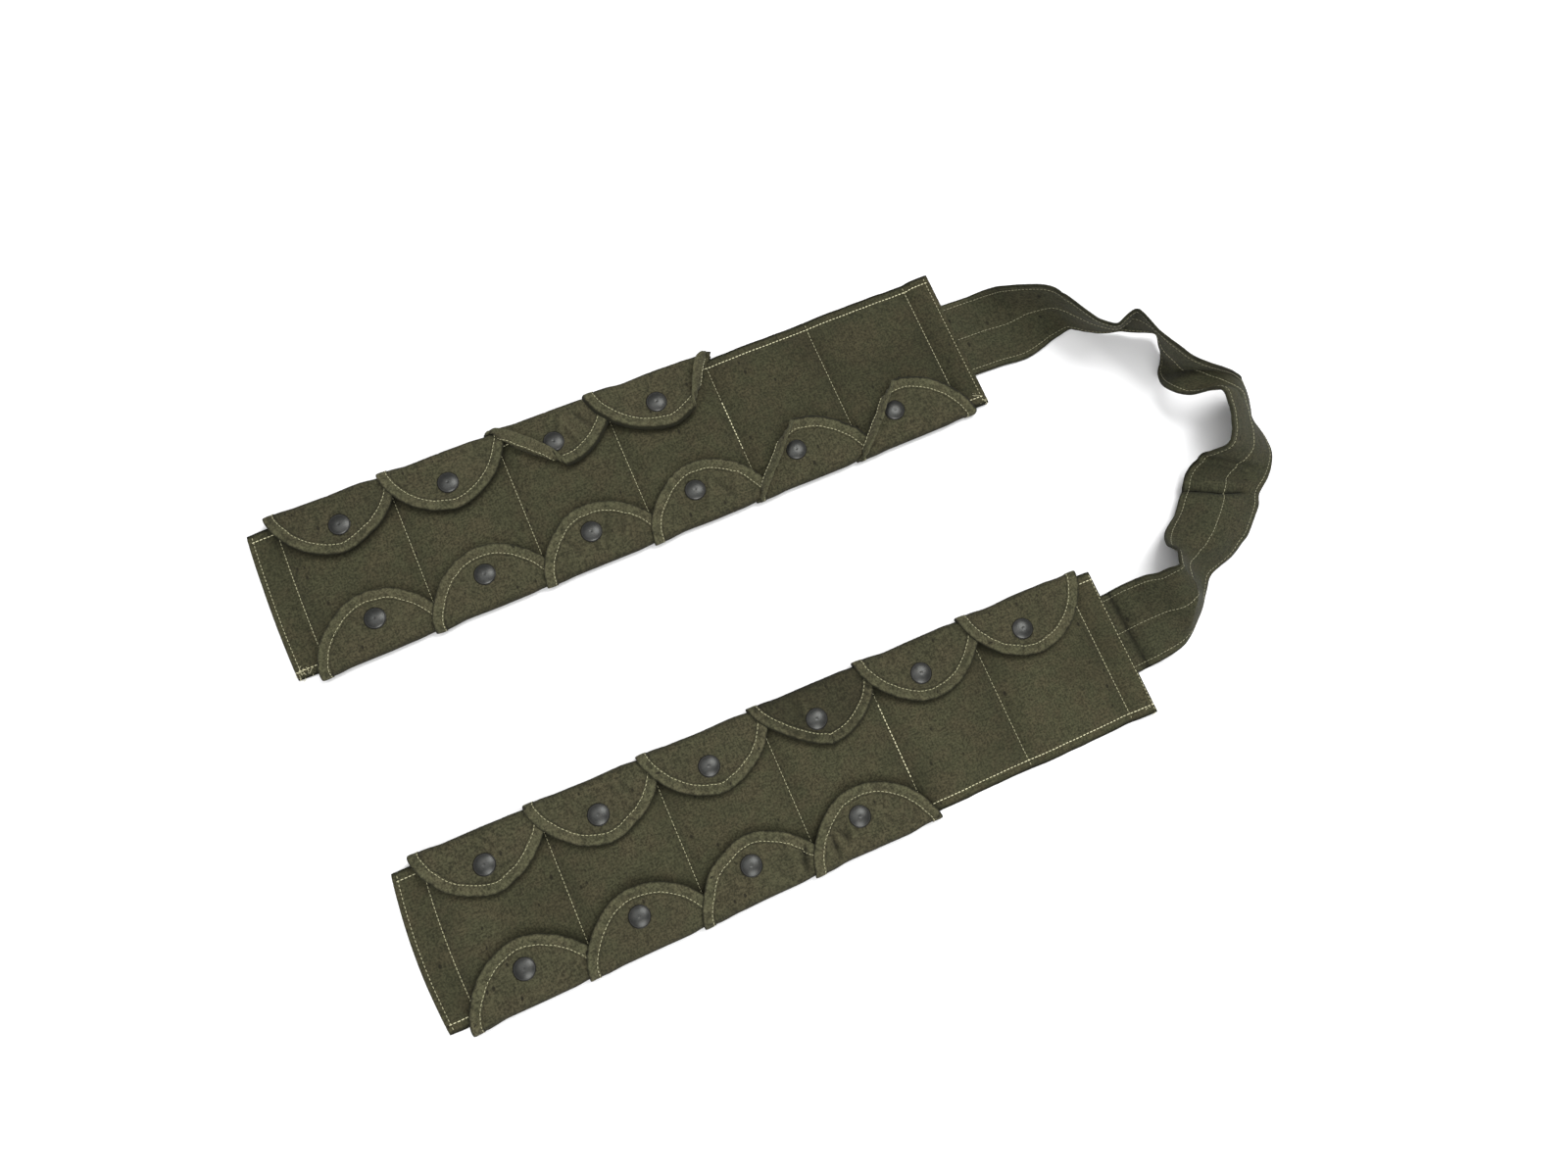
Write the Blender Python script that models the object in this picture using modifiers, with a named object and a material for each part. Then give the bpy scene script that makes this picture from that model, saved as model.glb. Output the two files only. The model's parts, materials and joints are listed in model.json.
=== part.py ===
"""Twenty-pocket cloth belt: two pocket panels lying side by side, joined by a wide neck strap.

Metres, +X along the panels towards the strap, +Y towards panel a, +Z up.
The origin is the centre of the whole object's footprint, on the surface it lies on.
Each flap's own origin is on its hinge line, and its snap cap is parented to it.
"""

import math

import bmesh
import bpy
from mathutils import Matrix, Vector

MM = 0.001

# Panels
PITCH = 80.0 * MM              # one pocket, from stitch line to stitch line
POCKETS = 6                    # pockets side by side in a panel
END_MARGIN = 20.0 * MM         # cloth past the first and last stitch lines
PANEL_LENGTH = POCKETS * PITCH + 2 * END_MARGIN
HALF_HEIGHT = 54.0 * MM        # centre line to the hemmed long edge
CENTRE_Y = 126.0 * MM          # centre line of panel a; panel b's is at minus this
PANEL_X = {"a": -351.5 * MM, "b": -339.0 * MM}   # left end of each panel
SIDE = {"a": 1.0, "b": -1.0}   # +1 where the outer edge faces +Y
CLOTH = 0.8 * MM               # one layer of canvas
GAP = 0.3 * MM                 # left between two pieces that are sewn or riveted together
POCKET_ROOM = 4.35 * MM        # free height inside a pocket
RAMP = 9.0 * MM                # run over which the front sheet dips to a stitch line
HEM = 5.5 * MM                 # closed edge to its seam
STRAP_ROOM = 3.2 * MM          # underside of the front sheet where the strap is tucked in
STRAP_ROOM_LENGTH = 14.0 * MM
SHEET_TOP = 2 * CLOTH + POCKET_ROOM

# Flaps
FLAPS = {"outer": 4, "inner": 6}
CREASE = 60.5 * MM             # centre line to the fold of the flaps
FLAP_HALF = 48.0 * MM          # half the flap's width at the fold
FLAP_DEPTH = 45.0 * MM         # fold to tip
FLAP_POWER = 1.8               # exponent of the flap's rounded outline
FLAP_CLOTH = 1.6 * MM          # two layers of canvas
FLAP_UNDER = 8.3 * MM          # underside of a closed flap
FLAP_TOP = FLAP_UNDER + FLAP_CLOTH
FOLD_RADIUS = 2.6 * MM         # outside of the fold
LIP_BOTTOM = 5.2 * MM          # the fold's turned-down lip ends here
HINGE_Z = 4.9 * MM
SIDE_GAP = 0.4 * MM            # between a flap and the one that lies over its corner
OUTLINE_STEPS = 11             # points along each half of the rounded outline
SPARE = 5.0 * MM               # how far a cutter runs past what it cuts

# Snap fasteners, line 24: a 15 mm cap
CAP_FROM_CREASE = 25.0 * MM
FIRST_CAP = {"a": 1.5 * MM, "b": -1.8 * MM}    # in X from the middle of the row's first flap
CAP_LAG = {"a": 2.0 * MM, "b": 0.8 * MM}       # how far the caps' pitch falls short of the flaps'
CAP_RADIUS = 7.5 * MM
CAP_DOME = 2.3 * MM
POST_RADIUS = 2.4 * MM
HOLE_RADIUS = 2.8 * MM
SOCKET_RADIUS = 5.5 * MM
SOCKET_DEPTH = 1.5 * MM
RECESS_RADIUS = 3.1 * MM
RECESS_DEPTH = 1.1 * MM
STUD_FLANGE = 4.8 * MM
STUD_SET = 0.45 * MM           # how deep the stud's flange is pressed into the cloth
CAP_STEPS = 12
STUD_STEPS = 10

# Neck strap
STRAP_WIDTH = 58.0 * MM
STRAP_CLOTH = 1.8 * MM
STRAP_TUCK = 14.0 * MM         # length of strap inside each panel's end
STRAP_SMOOTHING = 2            # rows of the strap's mesh for each station

# The strap's lie: middle point in mm, then the direction in degrees from its inner to its outer
# edge, as a heading in plan and a rise. It lies flat at both panels, stands on its inner edge
# near panel a, twists over, and comes down again on its outer edge near panel b.
STRAP_STATIONS = (
    (168.5, 124.5, 2.1, 90, 0),
    (190.0, 123.5, 1.9, 92, 0),
    (207.5, 122.0, 5.6, 101, 7),
    (222.0, 120.0, 14.6, 121, 26),
    (239.0, 115.0, 22.2, 137, 45),
    (252.0, 101.5, 26.5, 152, 58),
    (264.0, 86.5, 30.0, 178, 61),
    (268.5, 81.5, 29.5, 208, 65),
    (281.0, 78.0, 34.5, 186, 67),
    (295.0, 62.5, 35.5, 216, 61),
    (302.0, 43.0, 30.2, 250, 64),
    (308.0, 27.5, 25.4, 303, 54),
    (315.0, 20.5, 20.5, 327, 14),
    (321.0, 14.5, 18.5, 350, -18),
    (330.5, 2.5, 25.0, 350, -44),
    (328.0, -17.5, 24.8, 343, -46),
    (323.5, -37.0, 23.0, 340, -35),
    (312.0, -46.5, 14.4, 324, -22),
    (299.0, -56.5, 7.4, 313, -6),
    (283.5, -69.5, 8.6, 310, -10),
    (267.0, -80.0, 13.4, 304, -19),
    (248.5, -88.0, 16.8, 300, -31),
    (237.0, -102.5, 20.6, 299, -38),
    (225.5, -115.5, 24.0, 291, -40),
    (211.0, -118.5, 17.0, 283, -20),
    (198.0, -120.0, 7.0, 273, -3),
    (181.0, -121.0, 2.1, 270, 0),
)

# Base colour, metallic, roughness
MATERIALS = {
    "canvas": ((0.075, 0.070, 0.045), 0.0, 0.9),
    "flap_canvas": ((0.085, 0.080, 0.052), 0.0, 0.9),
    "strap_canvas": ((0.070, 0.068, 0.044), 0.0, 0.9),
    "snap_metal": ((0.060, 0.060, 0.055), 0.85, 0.45),
}


# --- Helpers -----------------------------------------------------------------------------------


def clear_scene():
    for obj in list(bpy.data.objects):
        bpy.data.objects.remove(obj, do_unlink=True)


def make_collection(name, hidden=False):
    collection = bpy.data.collections.new(name)
    bpy.context.scene.collection.children.link(collection)
    collection.hide_render = hidden
    return collection


def make_material(name):
    colour, metallic, roughness = MATERIALS[name]
    material = bpy.data.materials.new(name)
    material.use_nodes = True
    shader = material.node_tree.nodes["Principled BSDF"]
    shader.inputs["Base Color"].default_value = (*colour, 1.0)
    shader.inputs["Metallic"].default_value = metallic
    shader.inputs["Roughness"].default_value = roughness
    material.diffuse_color = (*colour, 1.0)
    return material


def add_part(name, mesh, slot):
    """A visible object, which becomes a node. The mesh may be shared."""
    if not mesh.materials:
        mesh.materials.append(FINISHES[slot])
    obj = bpy.data.objects.new(name, mesh)
    BELT.objects.link(obj)
    return obj


def add_cutter(name, mesh):
    obj = bpy.data.objects.new(name, mesh)
    CUTTERS.objects.link(obj)
    obj.hide_render = True
    obj.display_type = "WIRE"
    return obj


def mesh_from(bm, name):
    mesh = bpy.data.meshes.new(name)
    bm.to_mesh(mesh)
    bm.free()
    return mesh


def finished(obj):
    """The object's mesh with its modifiers applied. The object itself is removed."""
    graph = bpy.context.evaluated_depsgraph_get()
    mesh = bpy.data.meshes.new_from_object(obj.evaluated_get(graph))
    bpy.data.objects.remove(obj, do_unlink=True)
    return mesh


def smooth(mesh):
    mesh.shade_smooth()
    mesh.set_sharp_from_angle(angle=math.radians(35))


def slab(name, outline, thickness, matrix=Matrix()):
    """A flat closed outline made into a plate from z = 0 to its thickness, then moved."""
    curve = bpy.data.curves.new(name, "CURVE")
    curve.dimensions = "2D"
    curve.fill_mode = "BOTH"
    curve.extrude = thickness / 2
    spline = curve.splines.new("POLY")
    spline.points.add(len(outline) - 1)
    spline.use_cyclic_u = True
    for point, (x, y) in zip(spline.points, outline):
        point.co = (x, y, 0.0, 1.0)
    mesh = finished(add_cutter(name, curve))
    bm = bmesh.new()
    bm.from_mesh(mesh)
    bmesh.ops.remove_doubles(bm, verts=bm.verts, dist=1e-6)
    bmesh.ops.translate(bm, verts=bm.verts, vec=(0, 0, thickness / 2))
    bmesh.ops.transform(bm, matrix=matrix, verts=bm.verts)
    bmesh.ops.recalc_face_normals(bm, faces=bm.faces)
    return mesh_from(bm, name)


def turned(name, profile, steps):
    """A mesh turned about Z from (radius, height) points, axis to axis, down the outer side."""
    bm = bmesh.new()
    verts = [bm.verts.new((radius, 0.0, height)) for radius, height in profile]
    for pair in zip(verts, verts[1:]):
        bm.edges.new(pair)
    obj = add_cutter(name, mesh_from(bm, name))
    screw = obj.modifiers.new("turn", "SCREW")
    screw.steps = steps
    screw.render_steps = steps
    screw.use_merge_vertices = True
    screw.merge_threshold = 1e-5
    return finished(obj)


def add_boolean(obj, other, operation):
    modifier = obj.modifiers.new(operation.lower(), "BOOLEAN")
    modifier.operation = operation
    modifier.solver = "EXACT"
    modifier.object = other


def add_thickness(obj, thickness, offset):
    modifier = obj.modifiers.new("thickness", "SOLIDIFY")
    modifier.thickness = thickness
    modifier.offset = offset


def catmull_rom(points, steps):
    """A smooth row of points through the given ones."""
    padded = [2 * points[0] - points[1], *points, 2 * points[-1] - points[-2]]
    found = []
    for p0, p1, p2, p3 in zip(padded, padded[1:], padded[2:], padded[3:]):
        for step in range(steps):
            t = step / steps
            linear = (p2 - p0) * t
            square = (2 * p0 - 5 * p1 + 4 * p2 - p3) * t**2
            cube = (3 * p1 - p0 - 3 * p2 + p3) * t**3
            found.append((2 * p1 + linear + square + cube) / 2)
    return [*found, points[-1]]


# --- Panels ------------------------------------------------------------------------------------


def back_sheet(panel):
    bm = bmesh.new()
    bmesh.ops.create_cube(bm, size=1.0)
    bmesh.ops.scale(bm, verts=bm.verts, vec=(PANEL_LENGTH, 2 * HALF_HEIGHT, CLOTH))
    obj = add_part(f"back_sheet_{panel}", mesh_from(bm, "back_sheet"), "canvas")
    middle_x = PANEL_X[panel] + PANEL_LENGTH / 2
    obj.location = (middle_x, SIDE[panel] * CENTRE_Y, CLOTH / 2)


def sheet_height(along, across):
    """Underside of the front sheet: low at its seams, and high over the room in a pocket."""
    low = CLOTH + GAP
    if along > PANEL_LENGTH - STRAP_ROOM_LENGTH - GAP:
        return STRAP_ROOM
    if along <= END_MARGIN or along >= END_MARGIN + POCKETS * PITCH:
        return low
    place = (along - END_MARGIN) % PITCH
    rise = min(place, PITCH - place) / RAMP
    if along > END_MARGIN + FLAPS["outer"] * PITCH:
        rise = min(rise, (HALF_HEIGHT - HEM - across) / RAMP)
    rise = max(0.0, min(1.0, rise))
    return low + (POCKET_ROOM - GAP) * math.sin(0.5 * math.pi * rise)


def front_sheet(panel):
    """One sheet over the whole panel, stitched down between the pockets, with the snap studs."""
    alongs = [0.0]
    for pocket in range(POCKETS):
        start = END_MARGIN + pocket * PITCH
        alongs += [start, start + RAMP / 2, start + RAMP]
        alongs += [start + PITCH - RAMP, start + PITCH - RAMP / 2]
    alongs += [PANEL_LENGTH - END_MARGIN, PANEL_LENGTH - STRAP_ROOM_LENGTH, PANEL_LENGTH]
    seam = HALF_HEIGHT - HEM
    acrosses = [-HALF_HEIGHT, 0.0, seam - RAMP, seam - RAMP / 2, seam, HALF_HEIGHT]
    columns = len(alongs) - 1
    rows = len(acrosses) - 1
    bm = bmesh.new()
    bmesh.ops.create_grid(bm, x_segments=columns, y_segments=rows, size=0.5)
    for vert in bm.verts:
        along = alongs[round((vert.co.x + 0.5) * columns)]
        across = acrosses[round((vert.co.y + 0.5) * rows)]
        vert.co = (along, SIDE[panel] * across, sheet_height(along, across))
    if SIDE[panel] < 0:
        bmesh.ops.reverse_faces(bm, faces=bm.faces)
    mesh = mesh_from(bm, f"front_sheet_{panel}")
    smooth(mesh)
    sheet = add_part(f"front_sheet_{panel}", mesh, "canvas")
    sheet.location = (PANEL_X[panel], SIDE[panel] * CENTRE_Y, 0.0)
    add_thickness(sheet, CLOTH, 1.0)
    add_boolean(sheet, panel_studs(panel), "UNION")


def panel_studs(panel):
    """All the panel's snap studs, as one cutter that is joined to its front sheet."""
    profile = (
        (0.0, SHEET_TOP + 1.5 * MM),
        (1.6 * MM, SHEET_TOP + 1.5 * MM),
        (2.4 * MM, SHEET_TOP + 1.0 * MM),
        (1.9 * MM, SHEET_TOP + 0.45 * MM),
        (STUD_FLANGE, SHEET_TOP + 0.35 * MM),
        (STUD_FLANGE, SHEET_TOP - STUD_SET),
        (0.0, SHEET_TOP - STUD_SET),
    )
    stud = turned("stud", profile, STUD_STEPS)
    bm = bmesh.new()
    for row, number in flap_numbers():
        before = len(bm.verts)
        bm.from_mesh(stud)
        bm.verts.ensure_lookup_table()
        x, y, inward = flap_place(panel, row, number)
        place = (x + cap_aside(panel, number), y + inward * CAP_FROM_CREASE, 0.0)
        bmesh.ops.translate(bm, verts=bm.verts[before:], vec=place)
    return add_cutter(f"studs_{panel}", mesh_from(bm, f"studs_{panel}"))


# --- Flaps and their snaps ---------------------------------------------------------------------


def flap_numbers():
    return [(row, number) for row, count in FLAPS.items() for number in range(1, count + 1)]


def flap_place(panel, row, number):
    """(x of the flap's middle, y of its fold, direction in y from the fold to its tip)."""
    outward = SIDE[panel] if row == "outer" else -SIDE[panel]
    x = PANEL_X[panel] + END_MARGIN + (number - 0.5) * PITCH
    return x, SIDE[panel] * CENTRE_Y + outward * CREASE, -outward


def cap_aside(panel, number):
    """How far a cap sits in +X from the middle of its flap."""
    return FIRST_CAP[panel] - (number - 1) * CAP_LAG[panel]


def flap_outline(covered):
    """(u, v) round the flap, v from the fold to the tip. A covered flap's +u side stops short of
    the next flap, which lies over that corner."""
    left = []
    right = []
    for step in range(OUTLINE_STEPS + 1):
        turn = 0.5 * math.pi * step / OUTLINE_STEPS
        depth = FLAP_DEPTH * math.sin(turn) ** (2 / FLAP_POWER)
        width = FLAP_HALF * math.cos(turn) ** (2 / FLAP_POWER)
        left.append((-width, depth))
        if covered:
            width = min(width, PITCH - width - SIDE_GAP)
        right.append((width, depth))
    # The straight side at the fold runs on past it, to clear the lip.
    start = [(left[0][0], -SPARE), (right[0][0], -SPARE)]
    return [start[0], *left[:-1], (0.0, FLAP_DEPTH), *right[-2::-1], start[1]]


def flap_section():
    """(v, height over the hinge) round a cut across the fold: a plate with a turned-down lip."""
    top = FLAP_TOP - HINGE_Z
    under = FLAP_UNDER - HINGE_Z
    lip = LIP_BOTTOM - HINGE_Z
    section = [(0.0, lip)]
    for step in range(4):
        turn = 0.5 * math.pi * step / 3
        v = FOLD_RADIUS * (1 - math.cos(turn))
        section.append((v, top - FOLD_RADIUS * (1 - math.sin(turn))))
    section += [(FLAP_DEPTH + SPARE, top), (FLAP_DEPTH + SPARE, under)]
    section += [(FOLD_RADIUS, under), (FLAP_CLOTH, under - 1.0 * MM), (FLAP_CLOTH, lip)]
    return section


def flap_mesh(covered, inward, aside):
    """A flap with its hinge line on the X axis, running towards +Y or, where inward is -1, -Y."""
    length = 2 * (FLAP_HALF + SPARE)
    # The section's own x and y become the flap's y and z, and it runs along x.
    upright = Matrix(((0, 0, 1, -length / 2), (inward, 0, 0, 0), (0, 1, 0, 0), (0, 0, 0, 1)))
    plate = add_cutter("flap_plate", slab("flap_plate", flap_section(), length, upright))
    outline = [(u, inward * v) for u, v in flap_outline(covered)]
    low = Matrix.Translation((0, 0, -SPARE))
    prism = add_cutter("flap_outline", slab("flap_outline", outline, 3 * SPARE, low))
    add_boolean(plate, prism, "INTERSECT")
    bm = bmesh.new()
    place = Matrix.Translation((aside, inward * CAP_FROM_CREASE, FLAP_UNDER - HINGE_Z))
    bmesh.ops.create_cone(
        bm,
        cap_ends=True,
        segments=CAP_STEPS,
        radius1=HOLE_RADIUS,
        radius2=HOLE_RADIUS,
        depth=2 * SPARE,
        matrix=place,
    )
    hole = add_cutter("post_hole", mesh_from(bm, "post_hole"))
    add_boolean(plate, hole, "DIFFERENCE")
    mesh = finished(plate)
    for cutter in (prism, hole):
        bpy.data.objects.remove(cutter, do_unlink=True)
    smooth(mesh)
    return mesh


def cap_mesh():
    """Domed cap, post and socket, riveted into one piece, at heights over the hinge line."""
    top = FLAP_TOP + GAP - HINGE_Z
    under = FLAP_UNDER - GAP - HINGE_Z
    profile = (
        (0.0, top + CAP_DOME),
        (0.66 * CAP_RADIUS, top + 0.78 * CAP_DOME),
        (CAP_RADIUS, top + 0.26 * CAP_DOME),
        (CAP_RADIUS, top),
        (POST_RADIUS, top),
        (POST_RADIUS, under),
        (SOCKET_RADIUS, under),
        (SOCKET_RADIUS, under - SOCKET_DEPTH),
        (RECESS_RADIUS, under - SOCKET_DEPTH),
        (RECESS_RADIUS, under - SOCKET_DEPTH + RECESS_DEPTH),
        (0.0, under - SOCKET_DEPTH + RECESS_DEPTH),
    )
    mesh = turned("snap_cap", profile, CAP_STEPS)
    smooth(mesh)
    return mesh


def flaps_and_caps():
    caps = cap_mesh()
    for panel in PANEL_X:
        for row, number in flap_numbers():
            x, y, inward = flap_place(panel, row, number)
            aside = cap_aside(panel, number)
            mesh = flap_mesh(number < FLAPS[row], inward, aside)
            flap = add_part(f"flap_{panel}_{row}_{number}", mesh, "flap_canvas")
            flap.location = (x, y, HINGE_Z)
            cap = add_part(f"snap_cap_{panel}_{row}_{number}", caps, "snap_metal")
            cap.parent = flap
            cap.location = (aside, inward * CAP_FROM_CREASE, 0.0)


# --- Neck strap --------------------------------------------------------------------------------


def strap_edges():
    """Points along the strap's inner and outer edges, from panel a's end to panel b's."""
    inner = []
    outer = []
    for x, y, z, heading, rise in STRAP_STATIONS:
        turn = math.radians(heading)
        lift = math.radians(rise)
        plan = Vector((math.cos(turn), math.sin(turn), 0.0)) * math.cos(lift)
        across = plan + Vector((0.0, 0.0, math.sin(lift)))
        middle = Vector((x, y, z)) * MM
        inner.append(middle - across * STRAP_WIDTH / 2)
        outer.append(middle + across * STRAP_WIDTH / 2)
    tuck = Vector((STRAP_TUCK, 0.0, 0.0))
    edges = []
    for points in (inner, outer):
        curve = catmull_rom(points, STRAP_SMOOTHING)
        edges.append([curve[0] - tuck, *curve, curve[-1] - tuck])
    return edges


def neck_strap():
    bm = bmesh.new()
    rows = []
    for inner, outer in zip(*strap_edges()):
        rows.append([bm.verts.new(inner.lerp(outer, share)) for share in (0.0, 0.5, 1.0)])
    for row, after in zip(rows, rows[1:]):
        for corners in zip(row, row[1:], after[1:], after):
            bm.faces.new(corners)
    bmesh.ops.recalc_face_normals(bm, faces=bm.faces)
    mesh = mesh_from(bm, "neck_strap")
    smooth(mesh)
    strap = add_part("neck_strap", mesh, "strap_canvas")
    add_thickness(strap, STRAP_CLOTH, 0.0)


clear_scene()
BELT = make_collection("pocket_belt")
CUTTERS = make_collection("cutters", hidden=True)
FINISHES = {name: make_material(name) for name in MATERIALS}
for panel_name in PANEL_X:
    back_sheet(panel_name)
    front_sheet(panel_name)
flaps_and_caps()
neck_strap()
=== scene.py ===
"""Looks of the twenty-pocket cloth belt: two sewn pocket panels, their bound flaps and snaps, and the
neck strap. Shapes are worked out in millimetres in the part's own frame, and made in metres."""

import json
import math

import bpy
import numpy as np
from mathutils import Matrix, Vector


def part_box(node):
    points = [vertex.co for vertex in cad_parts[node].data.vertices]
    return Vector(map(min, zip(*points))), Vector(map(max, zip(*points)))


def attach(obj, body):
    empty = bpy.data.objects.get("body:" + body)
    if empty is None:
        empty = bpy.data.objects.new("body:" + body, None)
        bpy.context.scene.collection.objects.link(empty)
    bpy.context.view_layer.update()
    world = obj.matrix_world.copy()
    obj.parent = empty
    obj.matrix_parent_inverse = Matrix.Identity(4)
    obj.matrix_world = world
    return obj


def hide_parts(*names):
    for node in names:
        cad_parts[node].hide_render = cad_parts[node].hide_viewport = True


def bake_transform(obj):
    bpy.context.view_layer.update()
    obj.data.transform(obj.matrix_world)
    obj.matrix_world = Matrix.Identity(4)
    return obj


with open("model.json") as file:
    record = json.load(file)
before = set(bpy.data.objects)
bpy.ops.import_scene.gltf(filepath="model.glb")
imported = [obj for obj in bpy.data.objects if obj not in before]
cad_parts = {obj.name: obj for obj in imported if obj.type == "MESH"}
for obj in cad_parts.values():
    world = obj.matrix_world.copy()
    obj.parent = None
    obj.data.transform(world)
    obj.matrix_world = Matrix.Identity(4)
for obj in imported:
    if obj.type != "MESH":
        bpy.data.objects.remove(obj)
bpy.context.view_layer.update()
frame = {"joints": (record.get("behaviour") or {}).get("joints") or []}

MM = 0.001

# Cloth, in mm
FRONT_CLOTH = 0.9
BACK_CLOTH = 0.8
FLAP_CLOTH = 1.5
STRAP_CLOTH = 1.7
HEM_EXTRA = 0.55          # added where a hem doubles the cloth
HEM_WIDTH = 8.0
HEM_SEAM = 5.5            # hemmed edge to its seam

# Panels
PITCH = 80.0              # one pocket
END_MARGIN = 20.0         # cloth past the outermost pocket seams
POCKETS = 6
FLAPPED = 4               # pockets with a flap on the outer edge too
END_SEAM = 3.0            # panel's end to its stitching
LOW = 1.35                # middle of the front sheet over the back one, where they are sewn
ROOM = 3.85               # how far it rises between the seams
SWELL = 17.0              # run from a seam up to that height
STRAP_END = 14.0          # strap length inside a panel's end
STRAP_LIFT = 3.85         # middle of the front sheet there
END_BULGE = {"a": 1.5, "b": 3.5}

# Flaps
CREASE_HALF = 48.0        # half the flap's width at its fold
CREASE_RADIUS = 3.7       # middle of the cloth, round the fold
CREASE_Z = 5.4
FOLD_IN = 1.6             # the cloth's fold lies this far inside the lid's
FLAP_REACH = 45.5         # cloth from the fold's outermost line to the tip
CAP_RISE = 25.4           # and to its snap
OUTLINE_POWER = 1.8
BAND = 7.6                # width of the binding
ROOT = 13.0               # cloth from the fold's outermost line back to its seam in the pocket
ROOT_HALF = 40.0
LAYER = 1.05              # rise of the corners that lie over a neighbour; the others sink as far
RIM_RISE = {"outer": 1.7, "inner": 1.25}  # how far the flap's rim lifts above its snap
STITCH_INSET = 6.7
FOLD_RADIUS = 0.95        # bend of a bound edge that is folded back

# Threads
STITCH_PITCH = 2.7
STITCH_LENGTH = 2.15
THREAD = 0.24             # radius
HEAVY_THREAD = 0.42
HEM_THREAD = 0.33
END_THREAD = 0.23
FLAP_THREAD = 0.22

# Where the fourth seam is sewn over heavily, from the first step to the last along it
HEAVY_STRETCH = {"a": (34, 74), "b": (24, 80)}

# Frayed spots on the front: distance along the panel, distance across it, and number of ends
LOOSE_THREADS = {
    "a": ((2.5, -51.0, 14), (7.0, -52.5, 9), (517.5, -52.0, 8), (516.0, -47.0, 4)),
    "b": ((517.0, 52.0, 7), (340.0, 40.0, 2)),
}

# The other half, at the corner that lies on top of a neighbour: by panel, then the flaps that differ
FREE_HALF = {"a": 45.0, "b": 46.5}
WIDER = {("a", "outer", 4): 51.0, ("a", "inner", 5): 48.0, ("a", "inner", 6): 50.0}

# Flaps whose bound edge is folded back over itself: the stretch of the outline, in half turns from
# the end at +X to the end at -X, how wide a strip is folded, how far it turns, how high it stands,
# and how gradually the fold starts and ends (a low number is abrupt).
FOLDED_EDGES = {
    ("a", "outer", 3): (0.50, 0.995, 10.6, 170, 1.5, 0.45),
    ("a", "outer", 4): (-0.04, 0.36, 9.0, 138, 3.0, 0.6),
    ("a", "inner", 5): (0.50, 1.04, 9.8, 134, 3.0, 0.75),
    ("a", "inner", 6): (0.50, 1.04, 10.8, 130, 3.0, 0.75),
}

# Flaps whose edge runs straighter than the rest on its free side, as a power for its outline
STRAIGHTER = {("b", "inner", 4): 1.38}

# How dark the darker flaps are
DARKER = {("b", "inner", 4): 0.42, ("b", "inner", 5): 0.1, ("a", "outer", 1): 0.1}

# How much darker each panel's front gets towards the strap
DARKER_END = {"a": 0.17, "b": 0.0}

# Depth of the creases in the flaps that are creased most
RUMPLED = {
    ("a", "outer", 3): 1.7,
    ("a", "inner", 3): 1.5,
    ("a", "inner", 4): 1.4,
    ("b", "outer", 3): 1.2,
    ("b", "outer", 4): 1.2,
    ("b", "inner", 2): 1.1,
}

# Sharper creases at known places on a flap: u, v, direction in radians, depth
PINCHED = {
    ("b", "outer", 3): ((35.0, 13.0, 1.5, 2.6), (30.5, 15.0, 1.25, -1.8)),
    ("b", "outer", 4): ((-27.0, 14.0, 1.45, -2.2), (-23.0, 18.0, 1.6, 1.3)),
}

# The strap's lie: middle of its chord in mm, then the heading and the rise in degrees of the
# direction from its inner to its outer edge, and how far its middle line bulges, in mm. Most of
# these rows are the rounded result of a least-squares fit, not chosen by hand.
STRAP_WIDTH = 58.0
STRAP_TUCK = 13.0
STRAP_SEAMS = (3.6, 29.0, 54.4)
STRAP_STATIONS = (
    (168.5, 124.5, 2.0, 90, 0, 0),
    (190.0, 123.5, 2.0, 92, 0, 0),
    (207.0, 120.5, 8.0, 103, 13, 0),
    (223.0, 119.0, 17.0, 125, 32, 0),
    (239.0, 113.5, 24.5, 137, 52, -3),
    (246.0, 107.5, 26.5, 145, 60, -2),
    (250.5, 100.5, 27.0, 158, 63, 0),
    (257.0, 91.5, 28.0, 178, 64, 0),
    (264.5, 84.0, 29.0, 191, 63, 0),
    (271.5, 79.5, 30.5, 197, 62, 0),
    (277.0, 79.0, 32.0, 191, 66, 1),
    (282.5, 78.5, 34.0, 181, 69, 2),
    (285.5, 77.0, 34.5, 181, 69, 2),
    (291.0, 72.5, 34.0, 187, 65, 1),
    (295.5, 65.0, 33.5, 202, 61, 0),
    (299.0, 54.5, 31.0, 219, 65, -4),
    (302.5, 43.0, 28.5, 247, 68, -3),
    (304.5, 31.5, 28.0, 299, 66, 1),
    (312.0, 20.5, 27.0, 342, 16, 15),
    (319.5, 10.5, 27.0, 355, -19, 11),
    (328.5, 2.0, 28.5, 349, -45, 6),
    (329.0, -7.0, 25.5, 353, -49, 5),
    (327.5, -16.5, 23.5, 357, -49, 5),
    (327.5, -28.0, 23.0, 350, -41, 3),
    (323.5, -39.0, 21.5, 342, -33, 2),
    (311.0, -46.0, 17.5, 326, -20, 1),
    (298.0, -53.0, 13.0, 325, -8, 4),
    (290.5, -63.0, 10.5, 326, 2, 8),
    (278.0, -75.0, 10.0, 321, 4, 12),
    (261.5, -85.0, 11.5, 321, -8, 11),
    (251.0, -91.5, 16.0, 327, -30, 2),
    (245.5, -97.5, 22.0, 325, -46, -4),
    (237.0, -106.5, 23.5, 321, -49, 0),
    (229.5, -112.0, 22.5, 305, -42, 8),
    (221.0, -117.0, 19.0, 289, -29, 11),
    (212.0, -119.0, 14.0, 281, -17, 4),
    (198.0, -120.0, 7.0, 273, -3, 0),
    (181.0, -121.0, 2.0, 270, 0, 0),
)

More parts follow.
